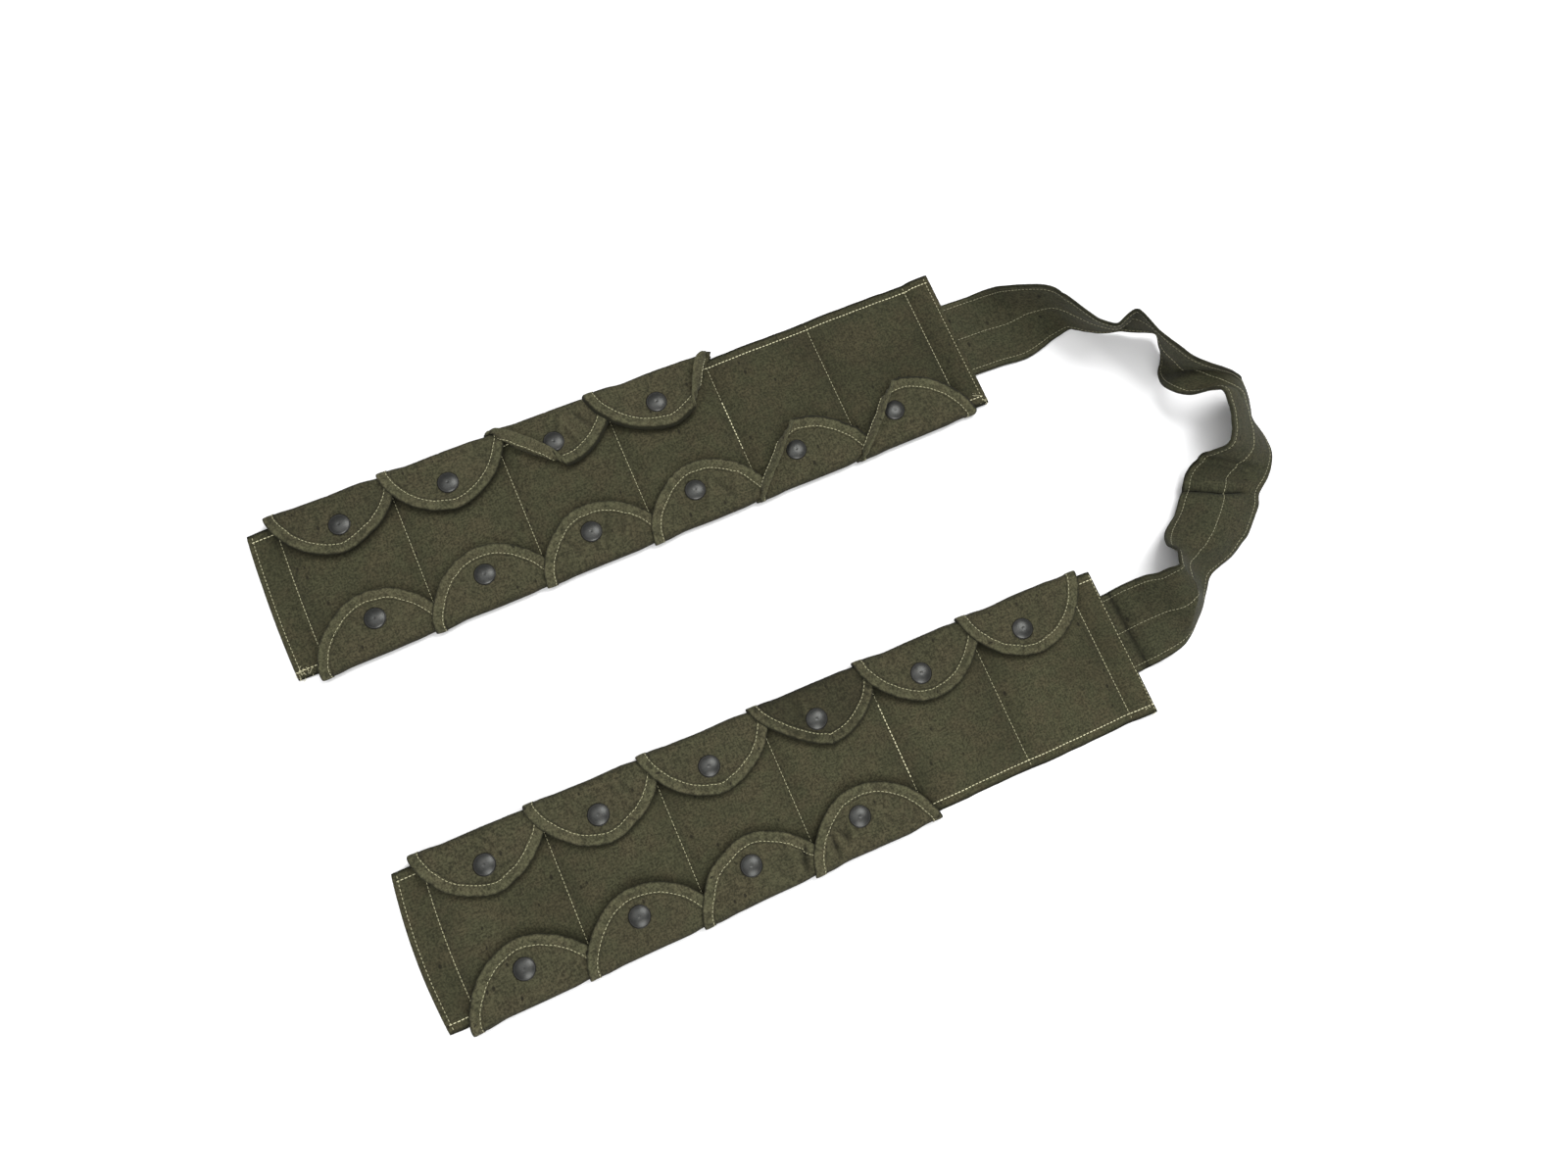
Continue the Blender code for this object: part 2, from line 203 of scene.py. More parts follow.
# Creases in the strap: height, half width, and points (distance along it, distance across it)
STRAP_CREASES = (
    (-5.0, 1.8, (486, 0), (485, 30), (484, 58)),
    (1.8, 3.5, (476, 0), (475, 58)),
    (2.4, 3.2, (415, 0), (423, 24), (438, 34), (444, 46)),
    (-4.5, 1.8, (342, 0), (340, 26), (334, 44)),
    (2.4, 2.2, (322, 0), (318, 24), (316, 48)),
    (-3.2, 4.0, (144, 8), (150, 30), (153, 48)),
    (-1.2, 2.0, (236, 2), (250, 16), (262, 20)),
    (-1.2, 3.5, (85, 24), (70, 4)),
    (1.3, 3.0, (100, 58), (113, 46), (132, 50)),
    (-1.0, 2.0, (389, 28), (405, 8)),
    (1.0, 2.2, (33, 56), (38, 36)),
    (-0.9, 2.0, (60, 20), (78, 44)),
    (-1.0, 2.5, (372, 50), (380, 24)),
)
STRAP_HOLLOW = (-3.4, 315.0, 337.0)  # depth, and where it starts and ends

# Camera, in mm and degrees
CAMERA_PLACE = (-142.1, -132.2, 792.8)
CAMERA_TURN = (12.143, -3.756, -23.827)
CAMERA_LENS = 26.52

FLOOR_HALF = 20.0         # half the floor's width, in metres
FLOOR_GAP = 0.2           # between the floor and the lowest cloth


# --- Numbers -----------------------------------------------------------------------------------


def smoothstep(low, high, value):
    t = np.clip((np.asarray(value, float) - low) / (high - low), 0.0, 1.0)
    return t * t * (3 - 2 * t)


def bump(value, middle, width):
    """1 at the middle, and nearly 0 from twice the width away."""
    return np.exp(-(((np.asarray(value, float) - middle) / width) ** 2))


NOISE_TABLE = 64


def noise(x, y, cell, seed):
    """Smooth noise from -1 to 1, with bumps about one cell apart."""
    table = np.random.default_rng(seed).uniform(-1.0, 1.0, (NOISE_TABLE, NOISE_TABLE))
    x, y = np.broadcast_arrays(np.asarray(x, float) / cell, np.asarray(y, float) / cell)
    column = np.floor(x).astype(int)
    row = np.floor(y).astype(int)
    tx = smoothstep(0, 1, x - column)
    ty = smoothstep(0, 1, y - row)

    def corner(right, up):
        return table[(row + up) % NOISE_TABLE, (column + right) % NOISE_TABLE]

    low = corner(0, 0) * (1 - tx) + corner(1, 0) * tx
    high = corner(0, 1) * (1 - tx) + corner(1, 1) * tx
    return low * (1 - ty) + high * ty


def unit(vectors):
    length = np.linalg.norm(vectors, axis=-1, keepdims=True)
    return vectors / np.maximum(length, 1e-9)


def catmull_rom(points, steps):
    """A smooth row of points through the given ones."""
    padded = np.vstack([2 * points[0] - points[1], points, 2 * points[-1] - points[-2]])
    found = []
    for p0, p1, p2, p3 in zip(padded, padded[1:], padded[2:], padded[3:]):
        for step in range(steps):
            t = step / steps
            linear = (p2 - p0) * t
            square = (2 * p0 - 5 * p1 + 4 * p2 - p3) * t**2
            cube = (3 * p1 - p0 - 3 * p2 + p3) * t**3
            found.append((2 * p1 + linear + square + cube) / 2)
    return np.array([*found, points[-1]])


def distances(points):
    steps = np.linalg.norm(np.diff(points, axis=0), axis=1)
    return np.concatenate([[0.0], np.cumsum(steps)])


def at_distance(points, places):
    """The points that lie at these distances along a row of points."""
    along = distances(points)
    return np.stack([np.interp(places, along, points[:, k]) for k in range(3)], axis=1)


# --- Meshes ------------------------------------------------------------------------------------


def grid_faces(rows, columns, close_rows=False):
    """Quads of a grid whose points are stored row by row."""
    row = np.arange(rows if close_rows else rows - 1)[:, None]
    column = np.arange(columns - 1)[None, :]
    first = (row * columns + column).ravel()
    over = ((row + 1) % rows * columns + column).ravel()
    return np.stack([first, first + 1, over + 1, over], axis=1)


def corner_edges(faces):
    """The directed edges round each face."""
    return np.concatenate([np.stack([f, np.roll(f, -1, axis=1)], axis=2).reshape(-1, 2) for f in faces])


def point_normals(points, faces):
    found = np.zeros_like(points)
    for group in faces:
        first = points[group[:, 2]] - points[group[:, 0]]
        second = points[group[:, -1]] - points[group[:, 1]]
        across = np.cross(first, second)
        for corner in range(group.shape[1]):
            np.add.at(found, group[:, corner], across)
    return unit(found)


def thicken(points, faces, thickness, cloth, wear):
    """Both sides of a cloth given by its middle surface, with rounded edges."""
    count = len(points)
    half = (np.broadcast_to(thickness, count) / 2)[:, None]
    normals = point_normals(points, faces)
    edges = corner_edges(faces)
    codes = edges[:, 0] * count + edges[:, 1]
    border = edges[~np.isin(codes, edges[:, 1] * count + edges[:, 0])]
    outward = np.zeros_like(points)
    for corner in (0, 1):
        side = unit(points[border[:, 1]] - points[border[:, 0]])
        np.add.at(outward, border[:, corner], np.cross(side, normals[border[:, corner]]))
    rim = np.unique(border)
    place = np.zeros(count, int)
    place[rim] = 2 * count + np.arange(len(rim))
    edge = points[rim] + 0.45 * half[rim] * 2 * unit(outward[rim])
    a, b = border[:, 0], border[:, 1]
    rounded = [
        np.stack([b, a, place[a], place[b]], axis=1),
        np.stack([place[b], place[a], a + count, b + count], axis=1),
    ]
    under = [group[:, ::-1] + count for group in faces]
    whole = np.vstack([points + normals * half, points - normals * half, edge])
    worn_and_painted_light = np.concatenate([wear, wear, wear[rim]])
    return whole, [*faces, *under, *rounded], np.vstack([cloth, cloth, cloth[rim]]), worn_and_painted_light


def add_mesh(name, points, faces, material, cloth=None, wear=None, sharp=60):
    """A shaded mesh from points in mm. cloth is each point's place on the flat cloth, in mm. The wear values
    per point hold worn spots and darker tone, and also painted shade and painted highlights.
    """
    mesh = bpy.data.meshes.new(name)
    listed = [face for group in faces for face in np.asarray(group).tolist()]
    mesh.from_pydata((np.asarray(points) * MM).tolist(), [], listed)
    if cloth is None:
        cloth = points
    place = mesh.attributes.new("cloth", "FLOAT_VECTOR", "POINT")
    place.data.foreach_set("vector", (np.asarray(cloth) * MM).astype(np.float32).ravel())
    # Per point: paler in the material above zero and darker below it, for worn spots, darker tone, painted
    # shade and painted highlights
    worn_and_painted_light = mesh.attributes.new("wear", "FLOAT", "POINT")
    if wear is not None:
        worn_and_painted_light.data.foreach_set("value", np.asarray(wear, np.float32))
    mesh.materials.append(material)
    mesh.shade_smooth()
    mesh.set_sharp_from_angle(angle=math.radians(sharp))
    obj = bpy.data.objects.new(name, mesh)
    bpy.context.scene.collection.objects.link(obj)
    return obj


def joined(parts):
    """One list of points and faces from several."""
    points = []
    faces = []
    base = 0
    for part_points, part_faces in parts:
        points.append(part_points)
        faces += [np.asarray(group) + base for group in part_faces]
        base += len(part_points)
    return np.vstack(points), faces


def turned(profile, steps):
    """Points and faces turned about Z from (radius, height) points, top of the axis to its foot."""
    profile = np.array(profile, float)
    rim = profile[1:-1]
    turns = np.linspace(0, 2 * math.pi, steps, endpoint=False)[:, None]
    ring = np.stack(
        [
            np.cos(turns) * rim[None, :, 0],
            np.sin(turns) * rim[None, :, 0],
            np.broadcast_to(rim[None, :, 1], (steps, len(rim))),
        ],
        axis=2,
    ).reshape(-1, 3)
    faces = grid_faces(steps, len(rim), close_rows=True)[:, ::-1]
    first = np.arange(steps) * len(rim)
    after = np.roll(first, -1)
    top = np.stack([first, after, np.full(steps, len(ring))], axis=1)
    low = np.stack([after + len(rim) - 1, first + len(rim) - 1, np.full(steps, len(ring) + 1)], axis=1)
    ends = [[0, 0, profile[0, 1]], [0, 0, profile[-1, 1]]]
    return np.vstack([ring, ends]), [faces, top, low]


def tube(path, radii, sides=6):
    """Points and faces of a round thread along a path, closed at its ends."""
    path = np.asarray(path, float)
    forward = unit(np.gradient(path, axis=0))
    upright = np.array([0.13, 0.21, 1.0])
    up = unit(upright - forward * (forward @ upright)[:, None])
    side = np.cross(forward, up)
    turns = np.linspace(0, 2 * math.pi, sides, endpoint=False)
    ring = np.cos(turns)[None, :, None] * up[:, None] + np.sin(turns)[None, :, None] * side[:, None]
    points = (path[:, None] + ring * np.asarray(radii, float)[:, None, None]).reshape(-1, 3)
    count = len(path)
    first = (np.arange(count - 1)[:, None] * sides + np.arange(sides)[None, :]).ravel()
    beside = (np.arange(count - 1)[:, None] * sides + (np.arange(sides) + 1)[None, :] % sides).ravel()
    faces = np.stack([first, beside, beside + sides, first + sides], axis=1)
    start = np.arange(sides)[None, ::-1]
    return points, [faces, start, start[:, ::-1] + (count - 1) * sides]


# A stitch's rings: place along it as a share of its length, then height and width in thread radii
STITCH_SHAPE = (
    (-0.5, -0.9, 0.35),
    (-0.36, 0.05, 0.95),
    (0.0, 0.3, 1.0),
    (0.36, 0.05, 0.95),
    (0.5, -0.9, 0.35),
)
STITCH_SIDES = 6


def stitch_row(path, normals, radius=THREAD, pitch=STITCH_PITCH, length=STITCH_LENGTH, seed=0):
    """A run of sewing stitches on a surface: each one rises out of the cloth and dives back in."""
    along = distances(path)
    count = max(1, int(along[-1] / pitch))
    middles = (np.arange(count) + 0.5) * along[-1] / count
    chance = np.random.default_rng(seed)
    middles = middles + chance.uniform(-0.1, 0.1, count)
    forward = unit(at_distance(path, middles + 0.4) - at_distance(path, middles - 0.4))
    up = unit(np.stack([np.interp(middles, along, normals[:, k]) for k in range(3)], axis=1))
    side = unit(np.cross(up, forward))
    forward = unit(forward + side * chance.uniform(-0.06, 0.06, count)[:, None])
    lengths = length * chance.uniform(0.92, 1.06, count)
    turns = np.linspace(0, 2 * math.pi, STITCH_SIDES, endpoint=False)
    rings = []
    for share, rise, width in STITCH_SHAPE:
        middle = at_distance(path, middles + share * lengths) + up * (rise * radius)
        for turn in turns:
            ring = up * math.cos(turn) + side * math.sin(turn)
            rings.append(middle + ring * radius * width)
    points = np.stack(rings, axis=1)
    per = len(STITCH_SHAPE) * STITCH_SIDES
    near = (np.arange(len(STITCH_SHAPE) - 1)[:, None] * STITCH_SIDES + np.arange(STITCH_SIDES)).ravel()
    ring_next = (np.arange(STITCH_SIDES) + 1) % STITCH_SIDES
    beside = (np.arange(len(STITCH_SHAPE) - 1)[:, None] * STITCH_SIDES + ring_next).ravel()
    quads = np.stack([near, near + STITCH_SIDES, beside + STITCH_SIDES, beside], axis=1)
    start = np.arange(STITCH_SIDES)[None, :]
    end = start[:, ::-1] + per - STITCH_SIDES
    base = (np.arange(count) * per)[:, None, None]
    groups = [(group[None] + base).reshape(-1, group.shape[1]) for group in (quads, start, end)]
    return points.reshape(-1, 3), groups


# --- Materials ---------------------------------------------------------------------------------


class Nodes:
    """Short calls for building one material's nodes."""

    def __init__(self, name):
        self.material = bpy.data.materials.new(name)
        self.material.use_nodes = True
        self.tree = self.material.node_tree
        self.shader = self.tree.nodes["Principled BSDF"]

    def add(self, kind, settings=None, **inputs):
        node = self.tree.nodes.new("ShaderNode" + kind)
        for key, value in (settings or {}).items():
            setattr(node, key, value)
        for key, value in inputs.items():
            self.set(node.inputs[key.replace("_", " ")], value)
        return node

    def set(self, socket, value):
        if isinstance(value, bpy.types.NodeSocket):
            self.tree.links.new(value, socket)
        else:
            socket.default_value = value

    def math(self, operation, first, second=0.0, clamp=False):
        node = self.add("Math", {"operation": operation, "use_clamp": clamp})
        self.set(node.inputs[0], first)
        self.set(node.inputs[1], second)
        return node.outputs[0]

    def scaled(self, vector, by):
        node = self.add("VectorMath", {"operation": "MULTIPLY"})
        self.set(node.inputs[0], vector)
        node.inputs[1].default_value = by
        return node.outputs[0]

    def noise(self, vector, scale, detail=2.0, roughness=0.5, distortion=0.0):
        node = self.add(
            "TexNoise",
            Vector=vector,
            Scale=scale,
            Detail=detail,
            Roughness=roughness,
            Distortion=distortion,
        )
        return node.outputs["Fac"]

    def between(self, value, low, high, to_low=0.0, to_high=1.0):
        node = self.add("MapRange", {"interpolation_type": "SMOOTHSTEP"})
        self.set(node.inputs["Value"], value)
        node.inputs["From Min"].default_value = low
        node.inputs["From Max"].default_value = high
        node.inputs["To Min"].default_value = to_low
        node.inputs["To Max"].default_value = to_high
        return node.outputs["Result"]

    def mix(self, share, first, second):
        node = self.add("Mix", {"data_type": "RGBA"})
        self.set(node.inputs["Factor"], share)
        self.set(node.inputs[6], first)
        self.set(node.inputs[7], second)
        return node.outputs[2]

    def bump(self, height, distance, strength=1.0, normal=None):
        node = self.add("Bump", Height=height, Distance=distance, Strength=strength)
        if normal is not None:
            self.set(node.inputs["Normal"], normal)
        return node.outputs["Normal"]


def rgb(colour, factor=1.0):
    return (*(channel * factor for channel in colour), 1.0)


def canvas(name, colour, warm, thread=0.00062):
    """Washed cotton canvas: a fine weave with slubs, cloudy dye and dark flecks, paler where the wear values
    are above zero (worn edges and painted highlights) and darker where they are below zero (painted shade
    and darker tone).
    """
    n = Nodes(name)
    place = n.add("Attribute", {"attribute_name": "cloth"}).outputs["Vector"]
    wear = n.add("Attribute", {"attribute_name": "wear"}).outputs["Fac"]
    rate = 0.31416 / thread
    wobble = n.add("VectorMath", {"operation": "ADD"})
    n.set(wobble.inputs[0], place)
    drift = n.add("TexNoise", Vector=place, Scale=260.0, Detail=1.0)
    n.set(wobble.inputs[1], n.scaled(drift.outputs["Color"], (0.0004, 0.0004, 0.0)))
    woven = wobble.outputs[0]
    warp = n.add("TexWave", {"bands_direction": "X"}, Vector=woven, Scale=rate).outputs["Fac"]
    weft = n.add("TexWave", {"bands_direction": "Y"}, Vector=woven, Scale=rate * 0.86).outputs["Fac"]
    weave = n.math("MULTIPLY", n.math("ADD", warp, weft), 0.5)
    slub_u = n.noise(n.scaled(place, (210.0, 1050.0, 300.0)), 1.0, 2.5, 0.6)
    slub_v = n.noise(n.scaled(place, (980.0, 190.0, 300.0)), 1.0, 2.5, 0.6)
    slubs = n.math("MULTIPLY", n.math("ADD", slub_u, slub_v), 0.5)
    grain = n.noise(place, 680.0, 2.0, 0.7)
    mottle = n.noise(place, 250.0, 2.0, 0.6)
    clouds = n.noise(place, 24.0, 3.0, 0.6, 0.5)
    patches = n.noise(place, 60.0, 3.0, 0.6)
    speck_map = n.add("TexVoronoi", {"feature": "F1"}, Vector=n.scaled(place, (1.0, 0.6, 1.0)), Scale=145.0)
    lot = n.add("SeparateColor", Color=speck_map.outputs["Color"])
    chosen = n.math("GREATER_THAN", lot.outputs[0], 0.25)
    size = n.math("MULTIPLY", n.math("MULTIPLY", grain, lot.outputs[1]), 0.31)
    fleck = n.math("MULTIPLY", n.math("LESS_THAN", speck_map.outputs["Distance"], size), chosen)
    tone = n.math("ADD", n.math("MULTIPLY", slubs, 1.3), n.math("MULTIPLY", weave, 0.2))
    tone = n.math("ADD", tone, n.math("MULTIPLY", grain, 1.4))
    tone = n.math("ADD", tone, n.math("MULTIPLY", mottle, 0.3))
    light = n.between(tone, 1.28, 1.92)
    base = n.mix(light, rgb(colour, 0.52), rgb(colour, 1.50))
    tint = n.between(patches, 0.38, 0.66, 0.0, 0.42)
    tinted = n.add("Mix", {"data_type": "RGBA", "blend_type": "MULTIPLY"})
    n.set(tinted.inputs[0], tint)
    n.set(tinted.inputs[6], base)
    tinted.inputs[7].default_value = (warm[0] / colour[0], warm[1] / colour[1], warm[2] / colour[2], 1.0)
    base = tinted.outputs[2]
    base = n.mix(n.between(clouds, 0.44, 0.72, 0.0, 0.22), base, rgb(colour, 0.62))
    base = n.mix(n.between(clouds, 0.48, 0.25, 0.0, 0.20), base, rgb(colour, 1.45))
    # Paler where the wear values are above zero: worn edges, and painted highlights on the bindings
    worn_and_painted_light = n.math("MULTIPLY", wear, n.between(n.noise(place, 420.0, 2.0), 0.30, 0.62))
    base = n.mix(n.math("MULTIPLY", worn_and_painted_light, 0.55, clamp=True), base, rgb(colour, 2.3))
    base = n.mix(n.math("MULTIPLY", fleck, 0.8), base, (0.010, 0.009, 0.006, 1.0))
    # Darker where the wear values are below zero: painted shade under flaps, along edges and in creases, and
    # the darker tone of some flaps and panel ends
    painted_shade_and_dark_tone = n.math("MULTIPLY", wear, -1.0, clamp=True)
    base = n.mix(painted_shade_and_dark_tone, base, rgb(colour, 0.25))
    n.set(n.shader.inputs["Base Color"], base)
    n.set(n.shader.inputs["Roughness"], n.between(slubs, 0.3, 0.7, 0.82, 0.98))
    n.shader.inputs["Specular IOR Level"].default_value = 0.08
    n.shader.inputs["Sheen Weight"].default_value = 0.03
    n.shader.inputs["Sheen Roughness"].default_value = 0.55
    height = n.math("ADD", n.math("MULTIPLY", weave, 0.45), n.math("MULTIPLY", slubs, 0.9))
    fine = n.bump(n.math("ADD", height, n.math("MULTIPLY", grain, 0.5)), 0.00022, 0.9)
    n.set(n.shader.inputs["Normal"], n.bump(patches, 0.0006, 0.35, fine))
    return n.material


def sewing_thread(name, colour):
    """Twisted cotton thread, paler where the twist catches the light."""
    n = Nodes(name)
    place = n.add("Attribute", {"attribute_name": "cloth"}).outputs["Vector"]
    twist = n.noise(place, 1500.0, 2.0, 0.6)
    stain = n.noise(place, 60.0, 2.0)
    base = n.mix(n.between(twist, 0.35, 0.65), rgb(colour, 0.72), rgb(colour, 1.12))
    base = n.mix(n.between(stain, 0.45, 0.7, 0.0, 0.45), base, rgb((0.30, 0.28, 0.16)))
    n.set(n.shader.inputs["Base Color"], base)
    n.set(n.shader.inputs["Roughness"], n.between(twist, 0.3, 0.7, 0.6, 0.8))
    n.shader.inputs["Sheen Weight"].default_value = 0.2
    n.set(n.shader.inputs["Normal"], n.bump(twist, 0.0001, 0.6))
    return n.material


def snap_metal():
    """Dark oxidised brass: satin, faintly turned in rings, cloudy, brighter where the wear values are above
    zero, and nearly black where they are below zero, as painted shade.
    """
    n = Nodes("snap_metal")
    place = n.add("Attribute", {"attribute_name": "cloth"}).outputs["Vector"]
    wear = n.add("Attribute", {"attribute_name": "wear"}).outputs["Fac"]
    flat = n.scaled(place, (1.0, 1.0, 0.0))
    radius = n.add("VectorMath", {"operation": "LENGTH"})
    n.set(radius.inputs[0], flat)
    rings = n.math("SINE", n.math("MULTIPLY", radius.outputs["Value"], 9000.0))
    clouds = n.noise(place, 420.0, 3.0, 0.6)
    scratches = n.noise(n.scaled(place, (300.0, 2600.0, 300.0)), 1.0, 2.0, 0.7)
    base = n.mix(n.between(clouds, 0.35, 0.68), (0.034, 0.035, 0.033, 1.0), (0.041, 0.041, 0.038, 1.0))
    base = n.mix(n.math("MULTIPLY", wear, 0.6, clamp=True), base, (0.16, 0.155, 0.15, 1.0))
    # Nearly black where the wear values are below zero: painted shade round a cap's foot
    base = n.mix(n.math("MULTIPLY", wear, -1.0, clamp=True), base, (0.006, 0.006, 0.005, 1.0))
    n.set(n.shader.inputs["Base Color"], base)
    n.shader.inputs["Metallic"].default_value = 0.8
    rough = n.math("ADD", n.between(clouds, 0.3, 0.7, 0.33, 0.37), n.math("MULTIPLY", scratches, 0.05))
    n.set(n.shader.inputs["Roughness"], rough)
    height = n.math("ADD", n.math("MULTIPLY", rings, 0.25), scratches)
    n.set(n.shader.inputs["Normal"], n.bump(height, 0.00002, 0.2))
    return n.material


def floor_material():
    n = Nodes("pale_floor")
    cloud = n.noise(n.add("TexCoord").outputs["Object"], 3.0, 2.0)
    base = n.mix(cloud, (0.83, 0.83, 0.835, 1.0), (0.85, 0.85, 0.855, 1.0))
    n.set(n.shader.inputs["Base Color"], base)
    n.shader.inputs["Roughness"].default_value = 0.9
    n.shader.inputs["Specular IOR Level"].default_value = 0.1
    return n.material


FINISHES = {
    "canvas": canvas("canvas", (0.0369, 0.0365, 0.0196), (0.0473, 0.0374, 0.0217)),
    "flap": canvas("flap_canvas", (0.0384, 0.0371, 0.0205), (0.0479, 0.0388, 0.0229)),
    "binding": canvas("binding_canvas", (0.0497, 0.0487, 0.0269), (0.0588, 0.0501, 0.0296)),
    "strap": canvas("strap_canvas", (0.0311, 0.0315, 0.0174), (0.0383, 0.0320, 0.0186)),
    "thread": sewing_thread("thread", (0.36, 0.34, 0.20)),
    "faint_thread": sewing_thread("faint_thread", (0.20, 0.19, 0.11)),
    "bright_thread": sewing_thread("bright_thread", (0.58, 0.55, 0.35)),
    "metal": snap_metal(),
}


# --- Panels ------------------------------------------------------------------------------------


class Panel:
    """Where a panel lies: its left end, centre line, half height, and which way is outward."""

    def __init__(self, name):
        low, high = (np.array(corner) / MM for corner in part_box(f"back_sheet_{name}"))
        self.name = name
        self.left = low[0]
        self.length = high[0] - low[0]
        self.centre = (low[1] + high[1]) / 2
        self.half = (high[1] - low[1]) / 2
        self.side = 1.0 if self.centre > 0 else -1.0
        self.seed = 10 if name == "a" else 50


def plan(panel, along, across):
    """(x, y) of a place on the panel, with its slightly uneven edges."""
    share = across / panel.half
    bulge = END_BULGE[panel.name] * (1 - share**2) * smoothstep(60.0, 0.0, along)
    ragged = noise(along, np.sign(across) * 90.0, 31.0, panel.seed) * 0.6
    ragged = ragged + noise(along, np.sign(across) * 90.0, 9.0, panel.seed + 1) * 0.2
    x = panel.left + along - bulge
    y = panel.centre + panel.side * (across + np.sign(across) * ragged * np.abs(share) ** 4)
    return x, y


def swell(panel, along, across):
    """0 where the front sheet is sewn down, 1 where it stands highest."""
    place = np.mod(along - END_MARGIN, PITCH)
    seam = np.minimum(place, PITCH - place)
    inside = (along > END_MARGIN) & (along < panel.length - END_MARGIN)
    rise = np.where(inside, 1 - (1 - np.clip(seam / SWELL, 0, 1)) ** 2.4, 0.0)
    closed = along > END_MARGIN + FLAPPED * PITCH
    hem = np.clip((panel.half - HEM_SEAM - across) / SWELL, 0, 1)
    return np.where(closed, rise * (1 - (1 - hem) ** 2.4), rise)


def front_point(panel, along, across):
    """Middle of the front sheet. across runs from the panel's inner edge, below 0, to its outer."""
    along, across = np.broadcast_arrays(np.asarray(along, float), np.asarray(across, float))
    rise = swell(panel, along, across)
    x, y = plan(panel, along, across)
    broad = noise(along, across, 24.0, panel.seed + 2) * 0.5
    wrinkle = broad + noise(along, across, 9.0, panel.seed + 3) * 0.16
    slack = 1 - 0.16 * bump(across, 8.0, 30.0)
    z = LOW + ROOM * rise * slack + wrinkle * smoothstep(0.0, 0.8, rise)
    place = np.mod(along - END_MARGIN + PITCH / 2, PITCH) - PITCH / 2
    pucker = np.sin(across * 1.15 + noise(along * 0, across, 6.0, panel.seed + 4) * 2.0)
    z = z + 0.16 * pucker * np.exp(-np.abs(place) / 5.0) * smoothstep(0.0, 0.25, rise)
    to_end = panel.length - along
    z = z + (STRAP_LIFT - LOW) * smoothstep(END_MARGIN, STRAP_END - 1.0, to_end)
    z = z + 0.25 * (noise(along, across, 17.0, panel.seed + 5) + 0.6) * smoothstep(16.0, 4.0, along)
    return np.stack([x, y, z], axis=-1)


def back_point(panel, along, across):
    along, across = np.broadcast_arrays(np.asarray(along, float), np.asarray(across, float))
    x, y = plan(panel, along, across)
    return np.stack([x, y, np.full_like(x, BACK_CLOTH / 2)], axis=-1)


def spread(start, end, step, seams=(), near=(0.5, 1.1, 2.0)):
    """Evenly spaced places, with extra ones beside each seam."""
    places = set(np.round(np.linspace(start, end, int((end - start) / step) + 1), 3).tolist())
    for seam in seams:
        places |= {round(seam + side * gap, 3) for gap in (0.0, *near) for side in (-1, 1)}
    return np.array(sorted(place for place in places if start <= place <= end))


def pocket_seams():
    return [END_MARGIN + PITCH * number for number in range(POCKETS + 1)]


def under_flaps(panel, x, y):
    """How far inside the nearest flap's edge a place on the panel lies, seen from above."""
    deepest = np.full(x.shape, -40.0)
    for flap in all_flaps():
        if flap.panel != panel.name:
            continue
        u = x - flap.x
        v = np.maximum((y - flap.y) * flap.inward, 0.0)
        power = np.where(u > 0, OUTLINE_POWER, flap.free_power)
        side = (np.abs(u) / np.where(u > 0, CREASE_HALF, flap.free_half)) ** power
        ahead = (v / FLAP_REACH) ** power
        turn = np.arctan2(np.sqrt(ahead), np.sign(u) * np.sqrt(side))
        inset = np.hypot(u, v) * (1 - (side + ahead) ** (1 / power))
        deepest = np.maximum(deepest, inset - fold_width(flap, turn))
    return deepest


def panel_sheet(panel, name, point_of, thickness, step):
    hem_line = panel.half - HEM_WIDTH
    seam = panel.half - HEM_SEAM
    alongs = spread(0.0, panel.length, step, [*pocket_seams(), END_SEAM])
    acrosses = spread(-panel.half, panel.half, step, [-seam, -hem_line, hem_line, seam])
    along, across = np.meshgrid(alongs, acrosses)
    points = point_of(panel, along, across).reshape(-1, 3)
    faces = grid_faces(len(acrosses), len(alongs))
    if panel.side < 0:
        faces = faces[:, ::-1]
    edge = np.minimum(np.minimum(along, panel.length - along) + 1.0, panel.half - np.abs(across))
    hem = smoothstep(HEM_WIDTH, HEM_WIDTH - 0.9, edge) * thickness[1]
    dip = 0.28 * bump(np.abs(across), seam, 0.8) + 0.25 * bump(along, END_SEAM, 0.8)
    for place in pocket_seams():
        dip = dip + 0.30 * bump(along, place, 0.8)
    depth = (thickness[0] + hem - dip * (thickness[1] > 0)).ravel()
    from_seam = np.mod(along - END_MARGIN + PITCH / 2, PITCH) - PITCH / 2
    # Darker near the pocket seams, in random patches, and towards the strap's end
    darkening = 0.16 * bump(from_seam, 0.0, 11.0)
    darkening = darkening + 0.14 * smoothstep(-0.1, 0.8, noise(along, across, 34.0, panel.seed + 6))
    darkening = darkening + DARKER_END[panel.name] * smoothstep(270.0, 390.0, along)
    if thickness[1] > 0:
        x, y, _ = points.reshape(*along.shape, 3).transpose(2, 0, 1)
        # Painted shade under the flaps, fading out just past their rims
        darkening = darkening + 0.5 * smoothstep(-3.2, 0.8, under_flaps(panel, x, y))
    # A paler worn band just in from the edge, painted shade along the very edge, and the darkening above
    worn_and_painted_light = 0.25 * bump(edge, 1.3, 0.9) - 0.9 * bump(edge, 0.0, 0.6) - darkening
    cloth = np.stack([along + 7 * panel.seed, across * panel.side, 0 * along + panel.seed], axis=-1)
    made = thicken(points, [faces], depth, cloth.reshape(-1, 3), worn_and_painted_light.ravel())
    obj = add_mesh(name, made[0], made[1], FINISHES["canvas"], made[2], made[3])
    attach(obj, "belt")
    return obj


